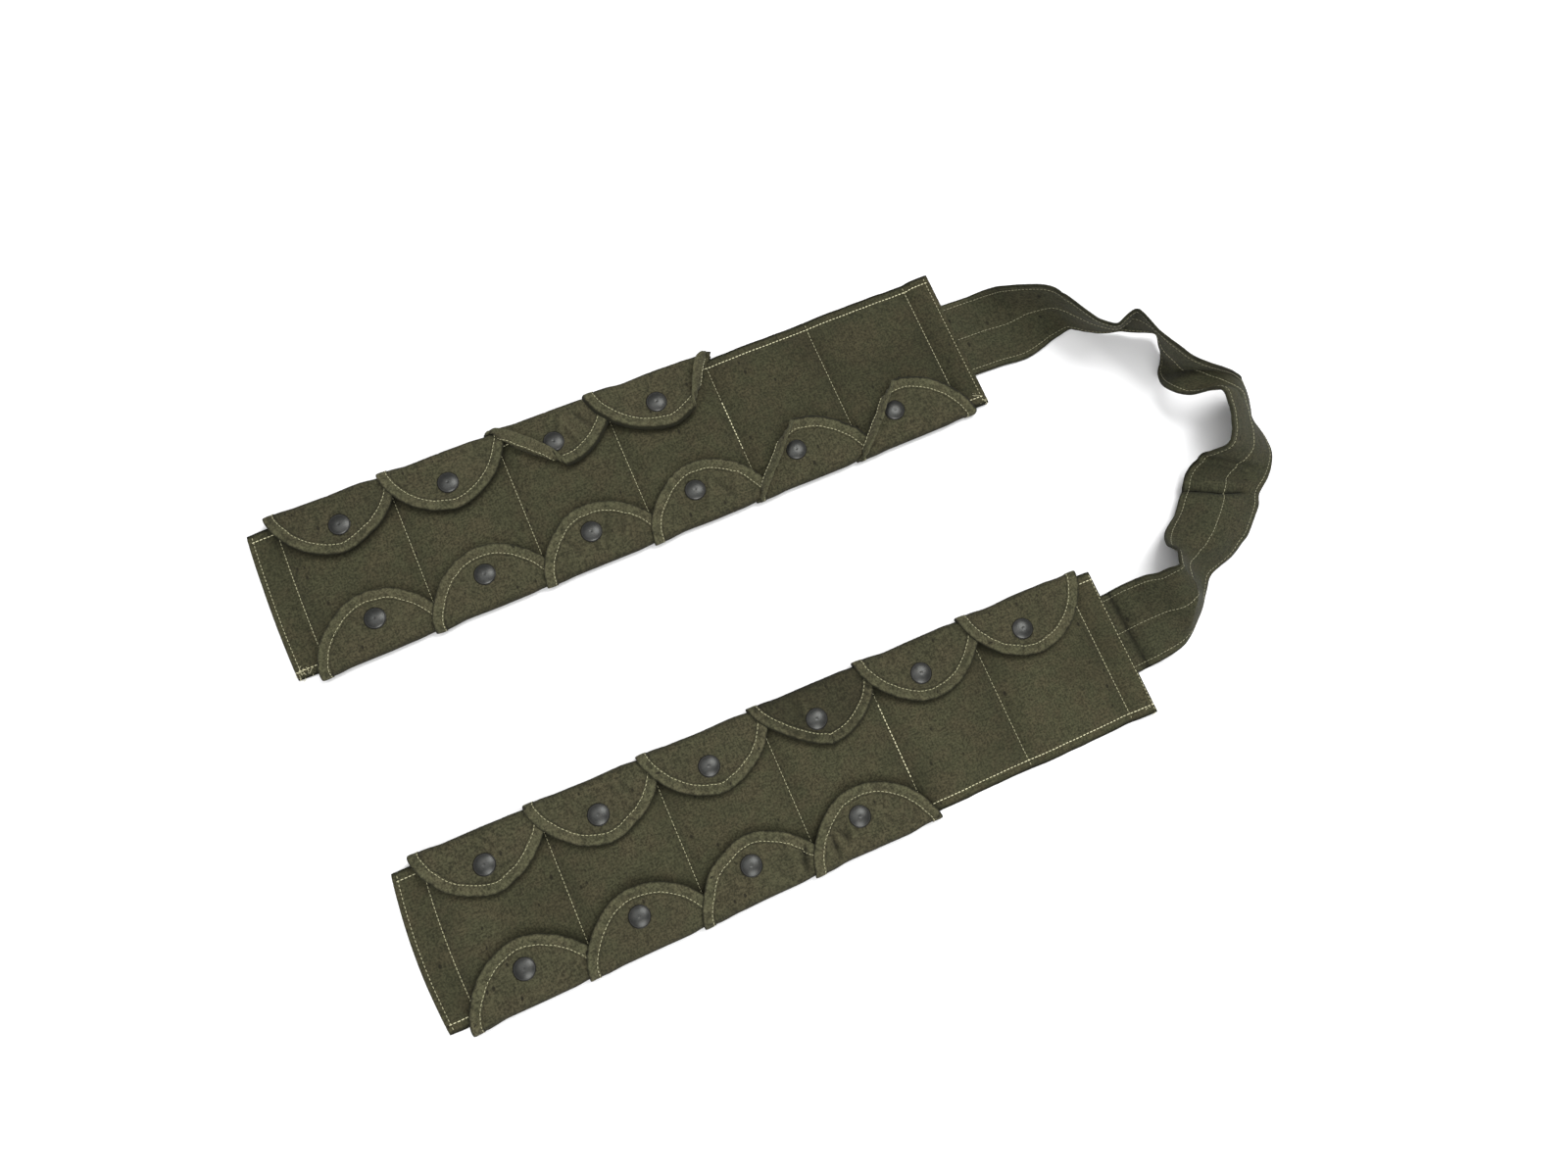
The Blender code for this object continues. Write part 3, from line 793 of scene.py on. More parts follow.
def surface_row(panel, alongs, acrosses, lift):
    """A path on top of the front sheet, and the sheet's normals there."""
    step = 0.4
    point = front_point(panel, alongs, acrosses)
    run = front_point(panel, np.asarray(alongs) + step, acrosses) - point
    rise = front_point(panel, alongs, np.asarray(acrosses) + step) - point
    normals = unit(np.cross(run, rise)) * panel.side
    return point + normals * lift, normals


def panel_stitching(panel):
    """Every seam on the panel's front, its hem seams among them, and its loose threads."""
    rows = []
    bright = []
    reach = panel.half - 1.5
    lift = FRONT_CLOTH / 2 - 0.05
    across = np.arange(-reach, reach, 1.0)
    for number, seam in enumerate(pocket_seams()):
        path, normals = surface_row(panel, seam + 0 * across, across, lift)
        start = end = 0
        if number == FLAPPED:
            start, end = HEAVY_STRETCH[panel.name]
            bright.append(stitch_row(path[start:end], normals[start:end], HEAVY_THREAD, seed=panel.seed))
        for part in (slice(0, start), slice(end, None)):
            if part != slice(0, 0):
                rows.append(stitch_row(path[part], normals[part], seed=panel.seed + number))
    for edge in (-1, 1):
        along = np.arange(1.5, panel.length - 1.0, 1.0)
        hem = edge * (panel.half - HEM_SEAM) + 0 * along
        row = surface_row(panel, along, hem, lift + HEM_EXTRA / 2)
        bright.append(stitch_row(*row, HEM_THREAD, seed=panel.seed + 20 + edge))
    for along in (END_SEAM, panel.length - END_SEAM):
        row = surface_row(panel, along + 0 * across, across, lift + HEM_EXTRA / 2)
        rows.append(stitch_row(*row, END_THREAD, 2.8, 1.9, seed=panel.seed + int(along)))
    bright += loose_threads(panel)
    fine = add_mesh(f"seam_stitching_{panel.name}", *joined(rows), FINISHES["thread"])
    thick = add_mesh(f"heavy_stitching_{panel.name}", *joined(bright), FINISHES["bright_thread"])
    for obj in (fine, thick):
        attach(obj, "belt")
    return [fine, thick]


def loose_threads(panel):
    """Short frayed ends curling out at the corners of the hem, and one at the heavy stretch."""
    chance = np.random.default_rng(panel.seed + 30)
    made = []
    for along, across, count in LOOSE_THREADS[panel.name]:
        root = front_point(panel, along, across)
        for _ in range(count):
            heading = chance.uniform(0, 2 * math.pi)
            bend = chance.uniform(-0.5, 0.5, 9).cumsum() + heading
            steps = np.column_stack([np.cos(bend), np.sin(bend), chance.uniform(-0.3, 0.35, 9)])
            start = root + [*chance.uniform(-1.6, 1.6, 2), 0.5]
            path = start + np.cumsum(steps, axis=0) * chance.uniform(0.35, 0.75)
            path[:, 2] = np.maximum(path[:, 2], 0.2)
            made.append(tube(path, np.full(9, 0.12), 5))
    return made


def make_panel(name):
    panel = Panel(name)
    front = panel_sheet(panel, f"front_cloth_{name}", front_point, (FRONT_CLOTH, HEM_EXTRA), 2.2)
    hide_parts(f"front_sheet_{name}")
    back = panel_sheet(panel, f"back_cloth_{name}", back_point, (BACK_CLOTH, 0.0), 6.0)
    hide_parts(f"back_sheet_{name}")
    threads = panel_stitching(panel)
    studs = snap_studs(panel)
    return front


# --- Snaps -------------------------------------------------------------------------------------


# Turned profiles, as radius and height from the top of the axis to its foot
STUD_TOP = 7.45
STUD_PROFILE = (
    (0.0, 0.0),
    (1.3, 0.0),
    (1.95, -0.12),
    (2.35, -0.5),
    (2.2, -0.85),
    (1.9, -1.05),
    (2.1, -1.18),
    (4.2, -1.2),
    (4.7, -1.35),
    (4.8, -1.9),
    (0.0, -1.9),
)
CAP_FOOT = 9.95
CAP_PROFILE = (
    (0.0, 2.12),
    (0.35, 2.13),
    (0.8, 2.20),
    (1.15, 2.27),
    (1.5, 2.28),
    (1.9, 2.24),
    (2.4, 2.20),
    (3.2, 2.08),
    (4.1, 1.89),
    (4.9, 1.67),
    (5.6, 1.43),
    (6.2, 1.18),
    (6.6, 0.98),
    (6.95, 0.76),
    (7.1, 0.50),
    (7.3, 0.46),
    (7.5, 0.36),
    (7.45, 0.05),
    (7.1, -0.1),
    (2.4, -0.1),
    (2.4, -2.0),
    (5.2, -2.0),
    (5.5, -2.3),
    (5.45, -3.1),
    (5.1, -3.4),
    (3.6, -3.42),
    (3.1, -3.25),
    (3.1, -2.4),
    (0.0, -2.4),
)


def snap_studs(panel):
    """The ten studs on the panel's front sheet, under its flaps."""
    shape, faces = turned(STUD_PROFILE, 32)
    parts = []
    places = []
    for flap in all_flaps():
        if flap.panel == panel.name:
            parts.append((shape + [flap.cap_x, flap.cap_y, STUD_TOP], faces))
            places.append(shape)
    points, groups = joined(parts)
    obj = add_mesh(f"snap_studs_{panel.name}", points, groups, FINISHES["metal"], np.vstack(places))
    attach(obj, "belt")
    return obj


def snap_cap(flap):
    """Domed cap, post and socket, with a paler rim and painted shade round its foot."""
    shape, faces = turned(CAP_PROFILE, 64)
    radius = np.hypot(shape[:, 0], shape[:, 1])
    # A paler rim on top, and painted shade round the cap's foot
    paler_edge_and_painted_light = 0.5 * bump(radius, 6.8, 0.4) * (shape[:, 2] > 0.7) - 0.9 * (radius > 7.0) * (shape[:, 2] < 0.6)
    turn = flap.seed * 1.7
    spin = np.array([[math.cos(turn), math.sin(turn), 0], [-math.sin(turn), math.cos(turn), 0], [0, 0, 1]])
    place = [flap.cap_x, flap.cap_y, CAP_FOOT]
    cloth = shape + [0, 0, flap.seed * 3.0]
    obj = add_mesh(f"cap_{flap.label}", shape @ spin + place, faces, FINISHES["metal"], cloth, paler_edge_and_painted_light, 45)
    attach(obj, flap.body)
    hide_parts(f"snap_cap_{flap.label}")
    return obj


# --- Flaps -------------------------------------------------------------------------------------


class Flap:
    """One flap's place, from its hinge, and the uneven ways in which its cloth lies."""

    def __init__(self, joint):
        self.label = joint["name"].removeprefix("flap_").removesuffix("_hinge")
        self.body = joint["child"]
        self.panel, self.row, number = self.label.split("_")
        self.number = int(number)
        self.x, self.y, self.hinge_z = (value / MM for value in joint["pos_m"])
        self.inward = 1.0 if joint["axis"][0] > 0 else -1.0
        low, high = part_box(f"snap_cap_{self.label}")
        self.cap_x = (low[0] + high[0]) / 2 / MM
        self.cap_y = (low[1] + high[1]) / 2 / MM
        self.cap_u = self.cap_x - self.x
        order = {"a": 0, "b": 20}[self.panel] + {"outer": 0, "inner": 8}[self.row]
        self.seed = 200 + order + self.number
        which = (self.panel, self.row, self.number)
        self.fold = FOLDED_EDGES.get(which)
        self.free_half = WIDER.get(which, FREE_HALF[self.panel])
        self.free_power = STRAIGHTER.get(which, OUTLINE_POWER)
        self.darkening = DARKER.get(which, 0.0)
        chance = np.random.default_rng(self.seed)
        self.hang = chance.uniform(-1.0, 1.0, 6)
        rumpled = RUMPLED.get(which, 0.5)
        self.creases = [
            (chance.uniform(-26, 26), chance.uniform(12, 26), chance.uniform(1.0, 2.2), rumpled * sign)
            for sign in (1.0, -0.8, 1.1, -0.6)
        ]
        self.creases += PINCHED.get(which, ())


def all_flaps():
    return [Flap(joint) for joint in frame["joints"]]


def outline(flap, turn):
    """The flap's rounded edge on flat cloth, and its outward normal. turn runs from 0 at the +u end
    of the fold to pi at the -u end, and past either the edge runs straight on round the fold."""
    inside = np.clip(turn, 0.0, math.pi)
    beyond = np.abs(turn - inside) * FLAP_REACH
    c = np.cos(inside)
    s = np.maximum(np.sin(inside), 0.0)
    half = np.where(c > 0, CREASE_HALF, flap.free_half)
    power = np.where(c > 0, OUTLINE_POWER, flap.free_power)
    u = half * np.sign(c) * np.abs(c) ** (2 / power)
    v = FLAP_REACH * s ** (2 / power)
    ragged = 0.75 * noise(inside * 2.6, 0.5, 1.0, flap.seed + 60)
    ragged = ragged + 0.3 * noise(inside * 9.0, 0.5, 1.0, flap.seed)
    nu = np.sign(c) * np.abs(u / half) ** (power - 1) / half
    nv = (v / FLAP_REACH) ** (power - 1) / FLAP_REACH
    length = np.hypot(nu, nv)
    nu = nu / length
    nv = nv / length
    return u + nu * ragged, v + nv * ragged - beyond, nu, nv


def on_cloth(flap, turn, inset):
    """(u, v) on flat cloth: square in from the edge as far as the binding, then straight towards
    the middle of the fold."""
    u, v, nu, nv = outline(flap, turn)
    band = np.minimum(inset, BAND)
    u = u - nu * band
    v = v - nv * band
    share = 1 - np.clip((inset - BAND) / cloth_reach(flap, turn), 0.0, 1.0)
    return u * share, np.where(v > 0, v * share, v)


def cloth_reach(flap, turn):
    """Distance from the binding's inner edge to the middle of the fold."""
    u, v, nu, nv = outline(flap, np.clip(turn, 0.0, math.pi))
    return np.hypot(u - nu * BAND, v - nv * BAND)


def fold_width(flap, turn):
    """Width of the strip of edge that is folded back at this place on the outline."""
    if flap.fold is None:
        return 0.0 * turn
    start, end, width = flap.fold[:3]
    share = np.clip((turn / math.pi - start) / (end - start), 0.0, 1.0)
    return width * (4 * share * (1 - share)) ** flap.fold[5]


def creases(flap, u, v):
    """A few soft creases pressed into the flap, most of them running from its snap to its fold."""
    height = 0.0
    for u0, v0, angle, depth in flap.creases:
        past = (u - u0) * math.cos(angle) + (v - v0) * math.sin(angle)
        beside = (v - v0) * math.cos(angle) - (u - u0) * math.sin(angle)
        ridge = np.exp(-((beside / 1.7) ** 2)) - 0.55 * np.exp(-(((beside - 3.2) / 2.6) ** 2))
        height = height + depth * ridge * np.exp(-((past / 11.0) ** 2))
    return height


def uneven(flap, u, v, inset):
    """Height of the flap's cloth above flat: lift to its rim, wrinkles, and flatness at its snap."""
    from_cap = np.hypot(u - flap.cap_u, v - CAP_RISE)
    wrinkle = 0.42 * noise(u + 100, v, 17.0, flap.seed) + 0.15 * noise(u + 100, v, 6.0, flap.seed + 40)
    around = np.arctan2(v - CAP_RISE, u - flap.cap_u)
    rays = np.sin(around * 5 + flap.hang[0] * 3) * bump(from_cap, 14.0, 6.0)
    dimple = -0.45 * bump(from_cap, 9.0, 3.0)
    lift = RIM_RISE[flap.row] * (1 - smoothstep(0.0, 15.0, inset)) + 0.3 * flap.hang[1]
    sag = -0.35 * bump(v, 14.0, 8.0) * (1 + flap.hang[2])
    loose = (wrinkle + 0.22 * rays + creases(flap, u, v)) * smoothstep(6.5, 13.0, from_cap)
    height = loose + dimple + lift + sag * smoothstep(8.0, 16.0, from_cap)
    if flap.fold is not None:
        start, end, _, _, stand, _ = flap.fold
        middle = 0.5 * (start + end) * math.pi
        turn = np.arctan2(v / FLAP_REACH, u / CREASE_HALF)
        near = bump(turn, middle, 0.30 * (end - start) * math.pi * 2)
        height = height + stand * near * (1 - smoothstep(2.0, 20.0, inset))
    return height * smoothstep(3.5, 15.0, v)


def flap_middle(flap, u, v, inset):
    """Middle of the flap's cloth as (x, distance inward from the fold, z)."""
    run = np.abs(v)
    quarter = CREASE_RADIUS * math.pi / 2
    bend = np.minimum(run, quarter) / CREASE_RADIUS
    inward = CREASE_RADIUS * (1 - np.cos(bend)) + np.maximum(run - quarter, 0.0)
    rise = CREASE_RADIUS * np.sin(bend) * np.sign(v)
    narrow = 1 - (1 - ROOT_HALF / CREASE_HALF) * smoothstep(0.0, ROOT, -v)
    layer = LAYER * (smoothstep(22.0, 36.0, -u) - smoothstep(22.0, 36.0, u))
    layer = layer + 0.5 * noise(u, 7.0, 21.0, flap.seed + 80) * np.exp(-((v / 9.0) ** 2))
    layer = layer * smoothstep(-5.0, 0.5, v)
    z = CREASE_Z + rise + layer * np.sin(bend) * np.sign(v) + uneven(flap, u, v, inset)
    return np.stack([u * narrow, FOLD_IN + inward - layer * np.cos(bend), z], axis=-1)


def flap_point(flap, turn, inset):
    """Middle of the cloth at a place on the flap, with its edge folded back where this flap's is."""
    width = fold_width(flap, turn)
    u, v = on_cloth(flap, turn, np.maximum(inset, width))
    point = flap_middle(flap, u, v, np.maximum(inset, width))
    if flap.fold is None:
        return point
    radius = FOLD_RADIUS
    angle = math.radians(flap.fold[3]) * np.clip(width / 4.0, 0.0, 1.0)
    past = np.maximum(width - inset, 0.0)
    curled = np.minimum(past / radius, angle)
    straight = past - curled * radius
    out = radius * np.sin(curled) + straight * np.cos(curled)
    up = radius * (1 - np.cos(curled)) + straight * np.sin(curled)
    _, _, nu, nv = outline(flap, turn)
    return point + np.stack([nu * out, nv * out, up], axis=-1)


def flap_normal(flap, turn, inset):
    step = 0.006
    before = flap_point(flap, turn - step, inset)
    after = flap_point(flap, turn + step, inset)
    inner = flap_point(flap, turn, inset + 0.3)
    outer = flap_point(flap, turn, inset - 0.3)
    return unit(np.cross(after - before, inner - outer))


def placed(flap, points):
    """Points in the row frame, in mm."""
    points = np.asarray(points)
    y = flap.y + flap.inward * points[..., 1]
    return np.stack([flap.x + points[..., 0], y, points[..., 2]], axis=-1).reshape(-1, 3)


def facing(flap, faces):
    """A mirrored flap's faces are turned round."""
    return faces if flap.inward > 0 else [group[:, ::-1] for group in faces]


TURN_STEPS = 104
RINGS = 20


def flap_cloth(flap):
    """The cloth of the flap, from its seam inside the pocket, round the fold, to its bound edge."""
    turns = np.linspace(0.0, math.pi, TURN_STEPS + 1)
    band = np.array([1.2, 2.6, 4.2, 5.8, BAND, BAND + 0.6, BAND + 1.2])
    rows = []
    cloths = []
    for inset in band:
        rows.append((turns, inset + 0 * turns))
    for ring in range(2, RINGS):
        rows.append((turns, BAND + cloth_reach(flap, turns) * (1 - (1 - ring / RINGS) ** 0.9)))
    points = []
    for turn, inset in rows:
        points.append(flap_point(flap, turn, inset))
        cloths.append(np.stack(on_cloth(flap, turn, inset), axis=-1))
    columns = len(turns)
    centre = len(rows) * columns
    points.append(flap_middle(flap, np.zeros(1), np.zeros(1), np.full(1, 40.0)))
    cloths.append(np.zeros((1, 2)))
    faces = [grid_faces(len(rows), columns)]
    last = (len(rows) - 1) * columns + np.arange(columns - 1)
    faces.append(np.stack([last, last + 1, np.full(columns - 1, centre)], axis=1))
    # Round the fold, from the crease's points back to the root
    crease = [row * columns for row in range(len(rows))] + [centre]
    crease += [row * columns + columns - 1 for row in range(len(rows) - 1, -1, -1)]
    crease = np.array(crease)
    flat = np.vstack(cloths)
    u = flat[crease, 0]
    base = centre + 1
    above = crease
    for v in np.linspace(-1.1, -ROOT, 12):
        row = flap_middle(flap, u, v + 0 * u, CREASE_HALF - np.abs(u))
        points.append(row)
        cloths.append(np.stack([u, v + 0 * u], axis=-1))
        below = base + np.arange(len(u))
        faces.append(np.stack([above[:-1], above[1:], below[1:], below[:-1]], axis=1))
        above = below
        base += len(u)
    flat = np.vstack(cloths)
    whole = placed(flap, np.vstack(points))
    cloth = np.column_stack([flat[:, 0] + 97 * (flap.seed % 23), flat[:, 1], flap.seed + 0 * flat[:, 0]])
    insets = np.concatenate([row[1] for row in rows] + [np.full(len(flat) - centre, 40.0)])
    # Painted shade along the fold and just inside the binding, and painted light and shade on the creases:
    # lighter on their ridges, darker in their hollows
    ridge = bump(flat[:, 1], 0.8, 3.0) * -0.6 - 0.55 * bump(insets, BAND + 0.2, 0.5)
    ridge = ridge + 0.35 * creases(flap, flat[:, 0], flat[:, 1]) * smoothstep(4.0, 12.0, flat[:, 1])
    made = thicken(whole, facing(flap, faces), FLAP_CLOTH, cloth, ridge - flap.darkening)
    obj = add_mesh(f"flap_cloth_{flap.label}", made[0], made[1], FINISHES["flap"], made[2], made[3], 75)
    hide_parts(f"flap_{flap.label}")
    return obj


# Round the binding: distance in from the edge, and height over the middle of the cloth
BINDING_SECTION = (
    (7.75, 0.62),
    (7.55, 1.12),
    (7.2, 1.22),
    (6.7, 1.06),
    (6.1, 1.24),
    (4.0, 1.32),
    (1.6, 1.28),
    (0.6, 1.14),
    (0.0, 0.85),
    (-0.7, 0.2),
    (-1.4, -0.7),
    (-1.0, -1.15),
    (1.6, -1.2),
    (4.0, -1.22),
    (6.1, -1.15),
    (6.7, -1.02),
    (7.4, -1.1),
    (7.7, -0.62),
)
BINDING_PAST = 0.19       # how far the binding runs on round the fold, in radians of the outline


def flap_binding(flap):
    """Bias tape folded round the flap's edge, sewn at its inner edge and faintly tucked, with painted shade
    along its rim and in its tucks and a painted highlight along the raw edge of a folded strip.
    """
    turns = np.linspace(-BINDING_PAST, math.pi + BINDING_PAST, 190)
    chance = np.random.default_rng(flap.seed + 7)
    flat_share = 1 - np.clip(fold_width(flap, turns) / 3.0, 0.0, 1.0)
    rings = []
    flats = []
    worn_and_painted_light = []
    for inset, height in BINDING_SECTION:
        wander = 0.28 * noise(turns * 40, 3.0, 7.0, flap.seed + 9)
        place = inset + wander * (inset > 5)
        tuck = 0.42 * noise(turns * 45, inset * 0.35, 2.4, flap.seed + 11)
        tuck = tuck * (height > 0) * (1 - bump(inset, STITCH_INSET, 0.6))
        point = flap_point(flap, turns, place + 0 * turns)
        normal = flap_normal(flap, turns, place + 0 * turns)
        rings.append(point + normal * (height + tuck)[:, None])
        flats.append(np.column_stack([turns * 44, place + 0 * turns + 3 * (height < 0)]))
        # A paler band near the outer edge on top: partly wear, partly painted highlight
        paler_edge_and_painted_light = 0.4 * bump(inset, 1.6, 1.2) * (height > 0)
        # Painted shade along the outer rim and its underside, and in the dips of the tucks
        binding_painted_shade = (1.0 * (inset < 0.1) * (height < 0.9) + 0.5 * (inset == 0.6)) * flat_share
        binding_painted_shade = binding_painted_shade + 0.45 * smoothstep(0.05, -0.3, tuck) * (height > 0)
        # Painted highlight along the raw edge where the edge is folded back
        painted_raw_edge_highlight = 1.3 * bump(inset, -0.2, 0.7) * (1 - flat_share)
        worn_and_painted_light.append(paler_edge_and_painted_light * flat_share + painted_raw_edge_highlight - binding_painted_shade - 0.8 * flap.darkening)
    points = placed(flap, np.stack(rings, axis=0))
    count = len(turns)
    faces = [grid_faces(len(BINDING_SECTION), count, close_rows=True)[:, ::-1]]
    ends = np.arange(len(BINDING_SECTION)) * count
    faces += [ends[None, :], (ends + count - 1)[None, ::-1]]
    flat = np.vstack(flats)
    turned_flat = np.column_stack([flat[:, 0] + flat[:, 1], flat[:, 0] - flat[:, 1]]) * 0.707
    offset = chance.uniform(0, 500)
    cloth = np.column_stack([turned_flat + offset, np.full(len(flat), flap.seed * 1.0)])
    obj = add_mesh(
        f"binding_{flap.label}",
        points,
        facing(flap, faces),
        FINISHES["binding"],
        cloth,
        np.concatenate(worn_and_painted_light),
        75,
    )
    return obj


def flap_stitching(flap):
    """The row of stitches that holds the binding, seen on both faces."""
    last = math.pi + BINDING_PAST * 0.8
    if flap.fold is not None and 0.9 < flap.fold[1] < 1:
        last = (flap.fold[1] - 0.07) * math.pi
    turns = np.linspace(-BINDING_PAST * 0.8, last, 400)
    wander = 0.25 * noise(turns * 40, 1.0, 9.0, flap.seed + 13)
    inset = STITCH_INSET + wander
    point = flap_point(flap, turns, inset)
    normal = flap_normal(flap, turns, inset)
    parts = []
    for side in (1.12, -1.2):
        path = placed(flap, point + normal * side)
        up = placed(flap, point + normal * 2 * side) - path
        parts.append(stitch_row(path, unit(up), FLAP_THREAD, STITCH_PITCH, 1.95, seed=flap.seed))
    return add_mesh(f"flap_stitching_{flap.label}", *joined(parts), FINISHES["thread"])


def bend_with_lid(obj):
    """Bakes the object's placement into its mesh."""
    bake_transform(obj)


def make_flap(flap):
    cloth = flap_cloth(flap)
    binding = flap_binding(flap)
    threads = flap_stitching(flap)
    for obj in (cloth, binding, threads):
        bend_with_lid(obj)
    cap = snap_cap(flap)


# --- Neck strap --------------------------------------------------------------------------------


def strap_lines():
    """The strap's inner edge, middle line and outer edge, with the ends tucked into the panels."""
    lines = ([], [], [])
    for x, y, z, heading, rise, bulge in STRAP_STATIONS:
        turn = math.radians(heading)
        lift = math.radians(rise)
        across = np.array([math.cos(turn) * math.cos(lift), math.sin(turn) * math.cos(lift), math.sin(lift)])
        out = np.array([-math.cos(turn) * math.sin(lift), -math.sin(turn) * math.sin(lift), math.cos(lift)])
        half = math.sqrt((STRAP_WIDTH / 2) ** 2 - bulge**2)
        middle = np.array([x, y, z])
        lines[0].append(middle - across * half)
        lines[1].append(middle + out * bulge)
        lines[2].append(middle + across * half)
    tuck = np.array([[STRAP_TUCK, 0.0, 0.0]])
    curves = []
    for points in lines:
        curve = catmull_rom(np.array(points), 16)
        start = curve[0] - tuck * np.array([[1.0], [0.5]])
        finish = curve[-1] - tuck * np.array([[0.5], [1.0]])
        curves.append(np.vstack([start, curve, finish]))
    return curves


def from_line(x, y, points):
    """Distance from each (x, y) to a bent line."""
    nearest = np.full(np.shape(x), 1e9)
    for (x0, y0), (x1, y1) in zip(points, points[1:]):
        run, rise = x1 - x0, y1 - y0
        share = np.clip(((x - x0) * run + (y - y0) * rise) / (run**2 + rise**2), 0.0, 1.0)
        nearest = np.minimum(nearest, np.hypot(x - x0 - share * run, y - y0 - share * rise))
    return nearest


STRAP_ROWS = 460
STRAP_COLUMNS = 53


def strap_middle():
    """A grid of points on the middle of the strap's cloth, rows along it and columns across, with
    the painted shade in its creases and hollow."""
    inner, middle, outer = strap_lines()
    along = distances(middle)
    places = np.linspace(0, along[-1], STRAP_ROWS)
    rows = []
    for curve in (inner, middle, outer):
        rows.append(np.stack([np.interp(places, along, curve[:, k]) for k in range(3)], axis=1)[:, None])
    share = np.linspace(0, 1, STRAP_COLUMNS)[None, :, None]
    grid = rows[0] * (2 * share - 1) * (share - 1)
    grid = grid + rows[1] * 4 * share * (1 - share)
    grid = grid + rows[2] * share * (2 * share - 1)
    normal = unit(np.cross(np.gradient(grid, axis=0), np.gradient(grid, axis=1)))
    place, width = np.meshgrid(places, share.ravel() * STRAP_WIDTH, indexing="ij")
    free = smoothstep(14.0, 24.0, place) * smoothstep(14.0, 17.0, places[-1] - place)
    wave = 0.8 * noise(place, width * 0.6, 21.0, 301) + 0.3 * noise(place, width, 7.0, 302)
    wave = wave + 0.9 * (0.4 - np.abs(noise(place, width * 0.5, 27.0, 303)))
    darkening = 0.0 * place
    for height, half, *points in STRAP_CREASES:
        near = np.exp(-from_line(place, width, points) / half)
        wave = wave + height * near
        # Painted shade along the deeper creases
        darkening = np.maximum(darkening, near * smoothstep(-0.8, -5.0, height))
    depth, start, end = STRAP_HOLLOW
    inside = smoothstep(start - 2, start + 4, place + 0.12 * width)
    inside = inside * smoothstep(end + 1, end - 5, place + 0.2 * width) * smoothstep(56.0, 36.0, width)
    wave = wave + depth * inside
    # Painted shade in the hollow
    darkening = np.maximum(darkening, 0.35 * inside * smoothstep(58.0, 20.0, width))
    grid = grid + normal * (wave * free)[..., None]
    grid[..., 2] = np.maximum(grid[..., 2], STRAP_CLOTH / 2 + 0.35)
    return grid, place, width, darkening


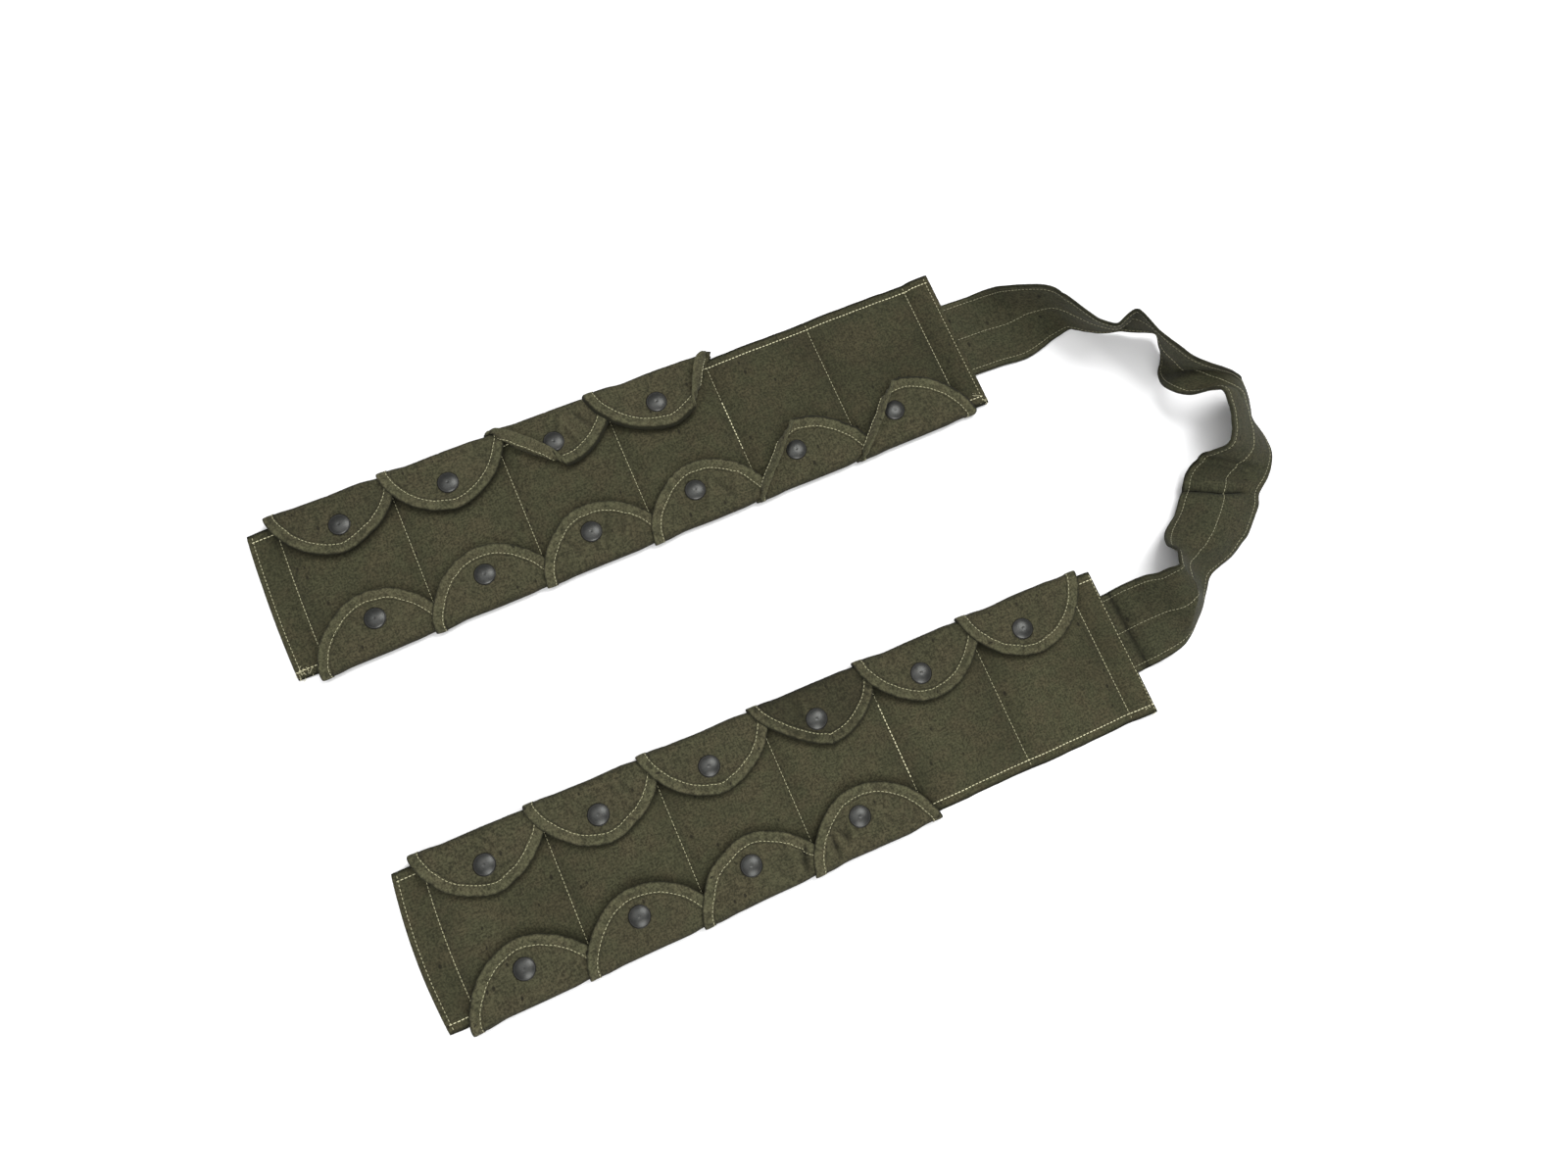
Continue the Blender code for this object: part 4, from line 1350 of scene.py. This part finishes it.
def neck_strap():
    grid, place, width, darkening = strap_middle()
    rows, columns = place.shape
    faces = grid_faces(rows, columns)
    edge = np.minimum(width, STRAP_WIDTH - width)
    seam = sum(bump(width, line, 1.0) for line in STRAP_SEAMS)
    depth = STRAP_CLOTH + 0.5 * smoothstep(7.5, 6.6, edge) - 0.45 * seam
    # A paler worn band just in from each edge, painted shade along the very edges, and the painted shade of
    # the creases
    worn_and_painted_light = 0.3 * bump(edge, 1.3, 0.8) - 0.6 * bump(edge, 0.0, 0.7) - darkening
    cloth = np.stack([place + 900, width, 0 * width + 3], axis=-1).reshape(-1, 3)
    made = thicken(grid.reshape(-1, 3), [faces], depth.ravel(), cloth, worn_and_painted_light.ravel())
    strap = add_mesh("strap_cloth", made[0], made[1], FINISHES["strap"], made[2], made[3])
    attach(strap, "belt")
    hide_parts("neck_strap")
    normals = unit(np.cross(np.gradient(grid, axis=0), np.gradient(grid, axis=1)))
    parts = []
    for line in STRAP_SEAMS:
        share = line / STRAP_WIDTH * (columns - 1)
        first = int(share)
        mix = share - first
        path = grid[:, first] * (1 - mix) + grid[:, first + 1] * mix
        up = normals[:, first]
        height = STRAP_CLOTH / 2 - 0.05 + 0.12 * (line != STRAP_SEAMS[1])
        for side in (1, -1):
            parts.append(stitch_row(path + up * side * height, up * side, seed=int(line)))
    threads = add_mesh("strap_stitching", *joined(parts), FINISHES["faint_thread"])
    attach(threads, "belt")


# --- Studio ------------------------------------------------------------------------------------


def floor():
    size = FLOOR_HALF
    mesh = bpy.data.meshes.new("floor")
    corners = [(-size, -size, 0), (size, -size, 0), (size, size, 0), (-size, size, 0)]
    mesh.from_pydata(corners, [], [(0, 1, 2, 3)])
    mesh.materials.append(floor_material())
    obj = bpy.data.objects.new("floor", mesh)
    bpy.context.scene.collection.objects.link(obj)
    obj.location.z = -FLOOR_GAP * MM


def area_light(name, place, target, size, power):
    lamp = bpy.data.lights.new(name, "AREA")
    lamp.shape = "RECTANGLE"
    lamp.size, lamp.size_y = size
    lamp.energy = power
    obj = bpy.data.objects.new(name, lamp)
    bpy.context.scene.collection.objects.link(obj)
    obj.location = place
    aim = np.array(target) - np.array(place)
    obj.rotation_mode = "QUATERNION"
    obj.rotation_quaternion = Vector(aim).to_track_quat("-Z", "Y")


def studio():
    scene = bpy.context.scene
    scene.view_settings.view_transform = "Standard"
    world = bpy.data.worlds.new("studio")
    scene.world = world
    world.use_nodes = True
    background = world.node_tree.nodes["Background"]
    background.inputs["Color"].default_value = (1.0, 1.0, 1.0, 1.0)
    background.inputs["Strength"].default_value = 0.52
    area_light("key", (0.62, 0.40, 1.7), (0.0, 0.0, 0.0), (0.9, 0.9), 27.0)
    area_light("overhead", (-0.55, 0.3, 2.0), (0.0, 0.0, 0.0), (1.4, 1.4), 15.0)
    area_light("low", (-0.25, -1.05, 1.1), (0.0, 0.0, 0.0), (0.7, 0.7), 14.0)
    data = bpy.data.cameras.new("camera")
    data.lens = CAMERA_LENS
    data.sensor_width = 36.0
    data.clip_start = 0.01
    data.clip_end = 50.0
    camera = bpy.data.objects.new("camera", data)
    scene.collection.objects.link(camera)
    camera.location = [value * MM for value in CAMERA_PLACE]
    camera.rotation_euler = [math.radians(value) for value in CAMERA_TURN]
    scene.camera = camera


studio()
floor()
fronts = {name: make_panel(name) for name in ("a", "b")}
for one in all_flaps():
    make_flap(one)
neck_strap()
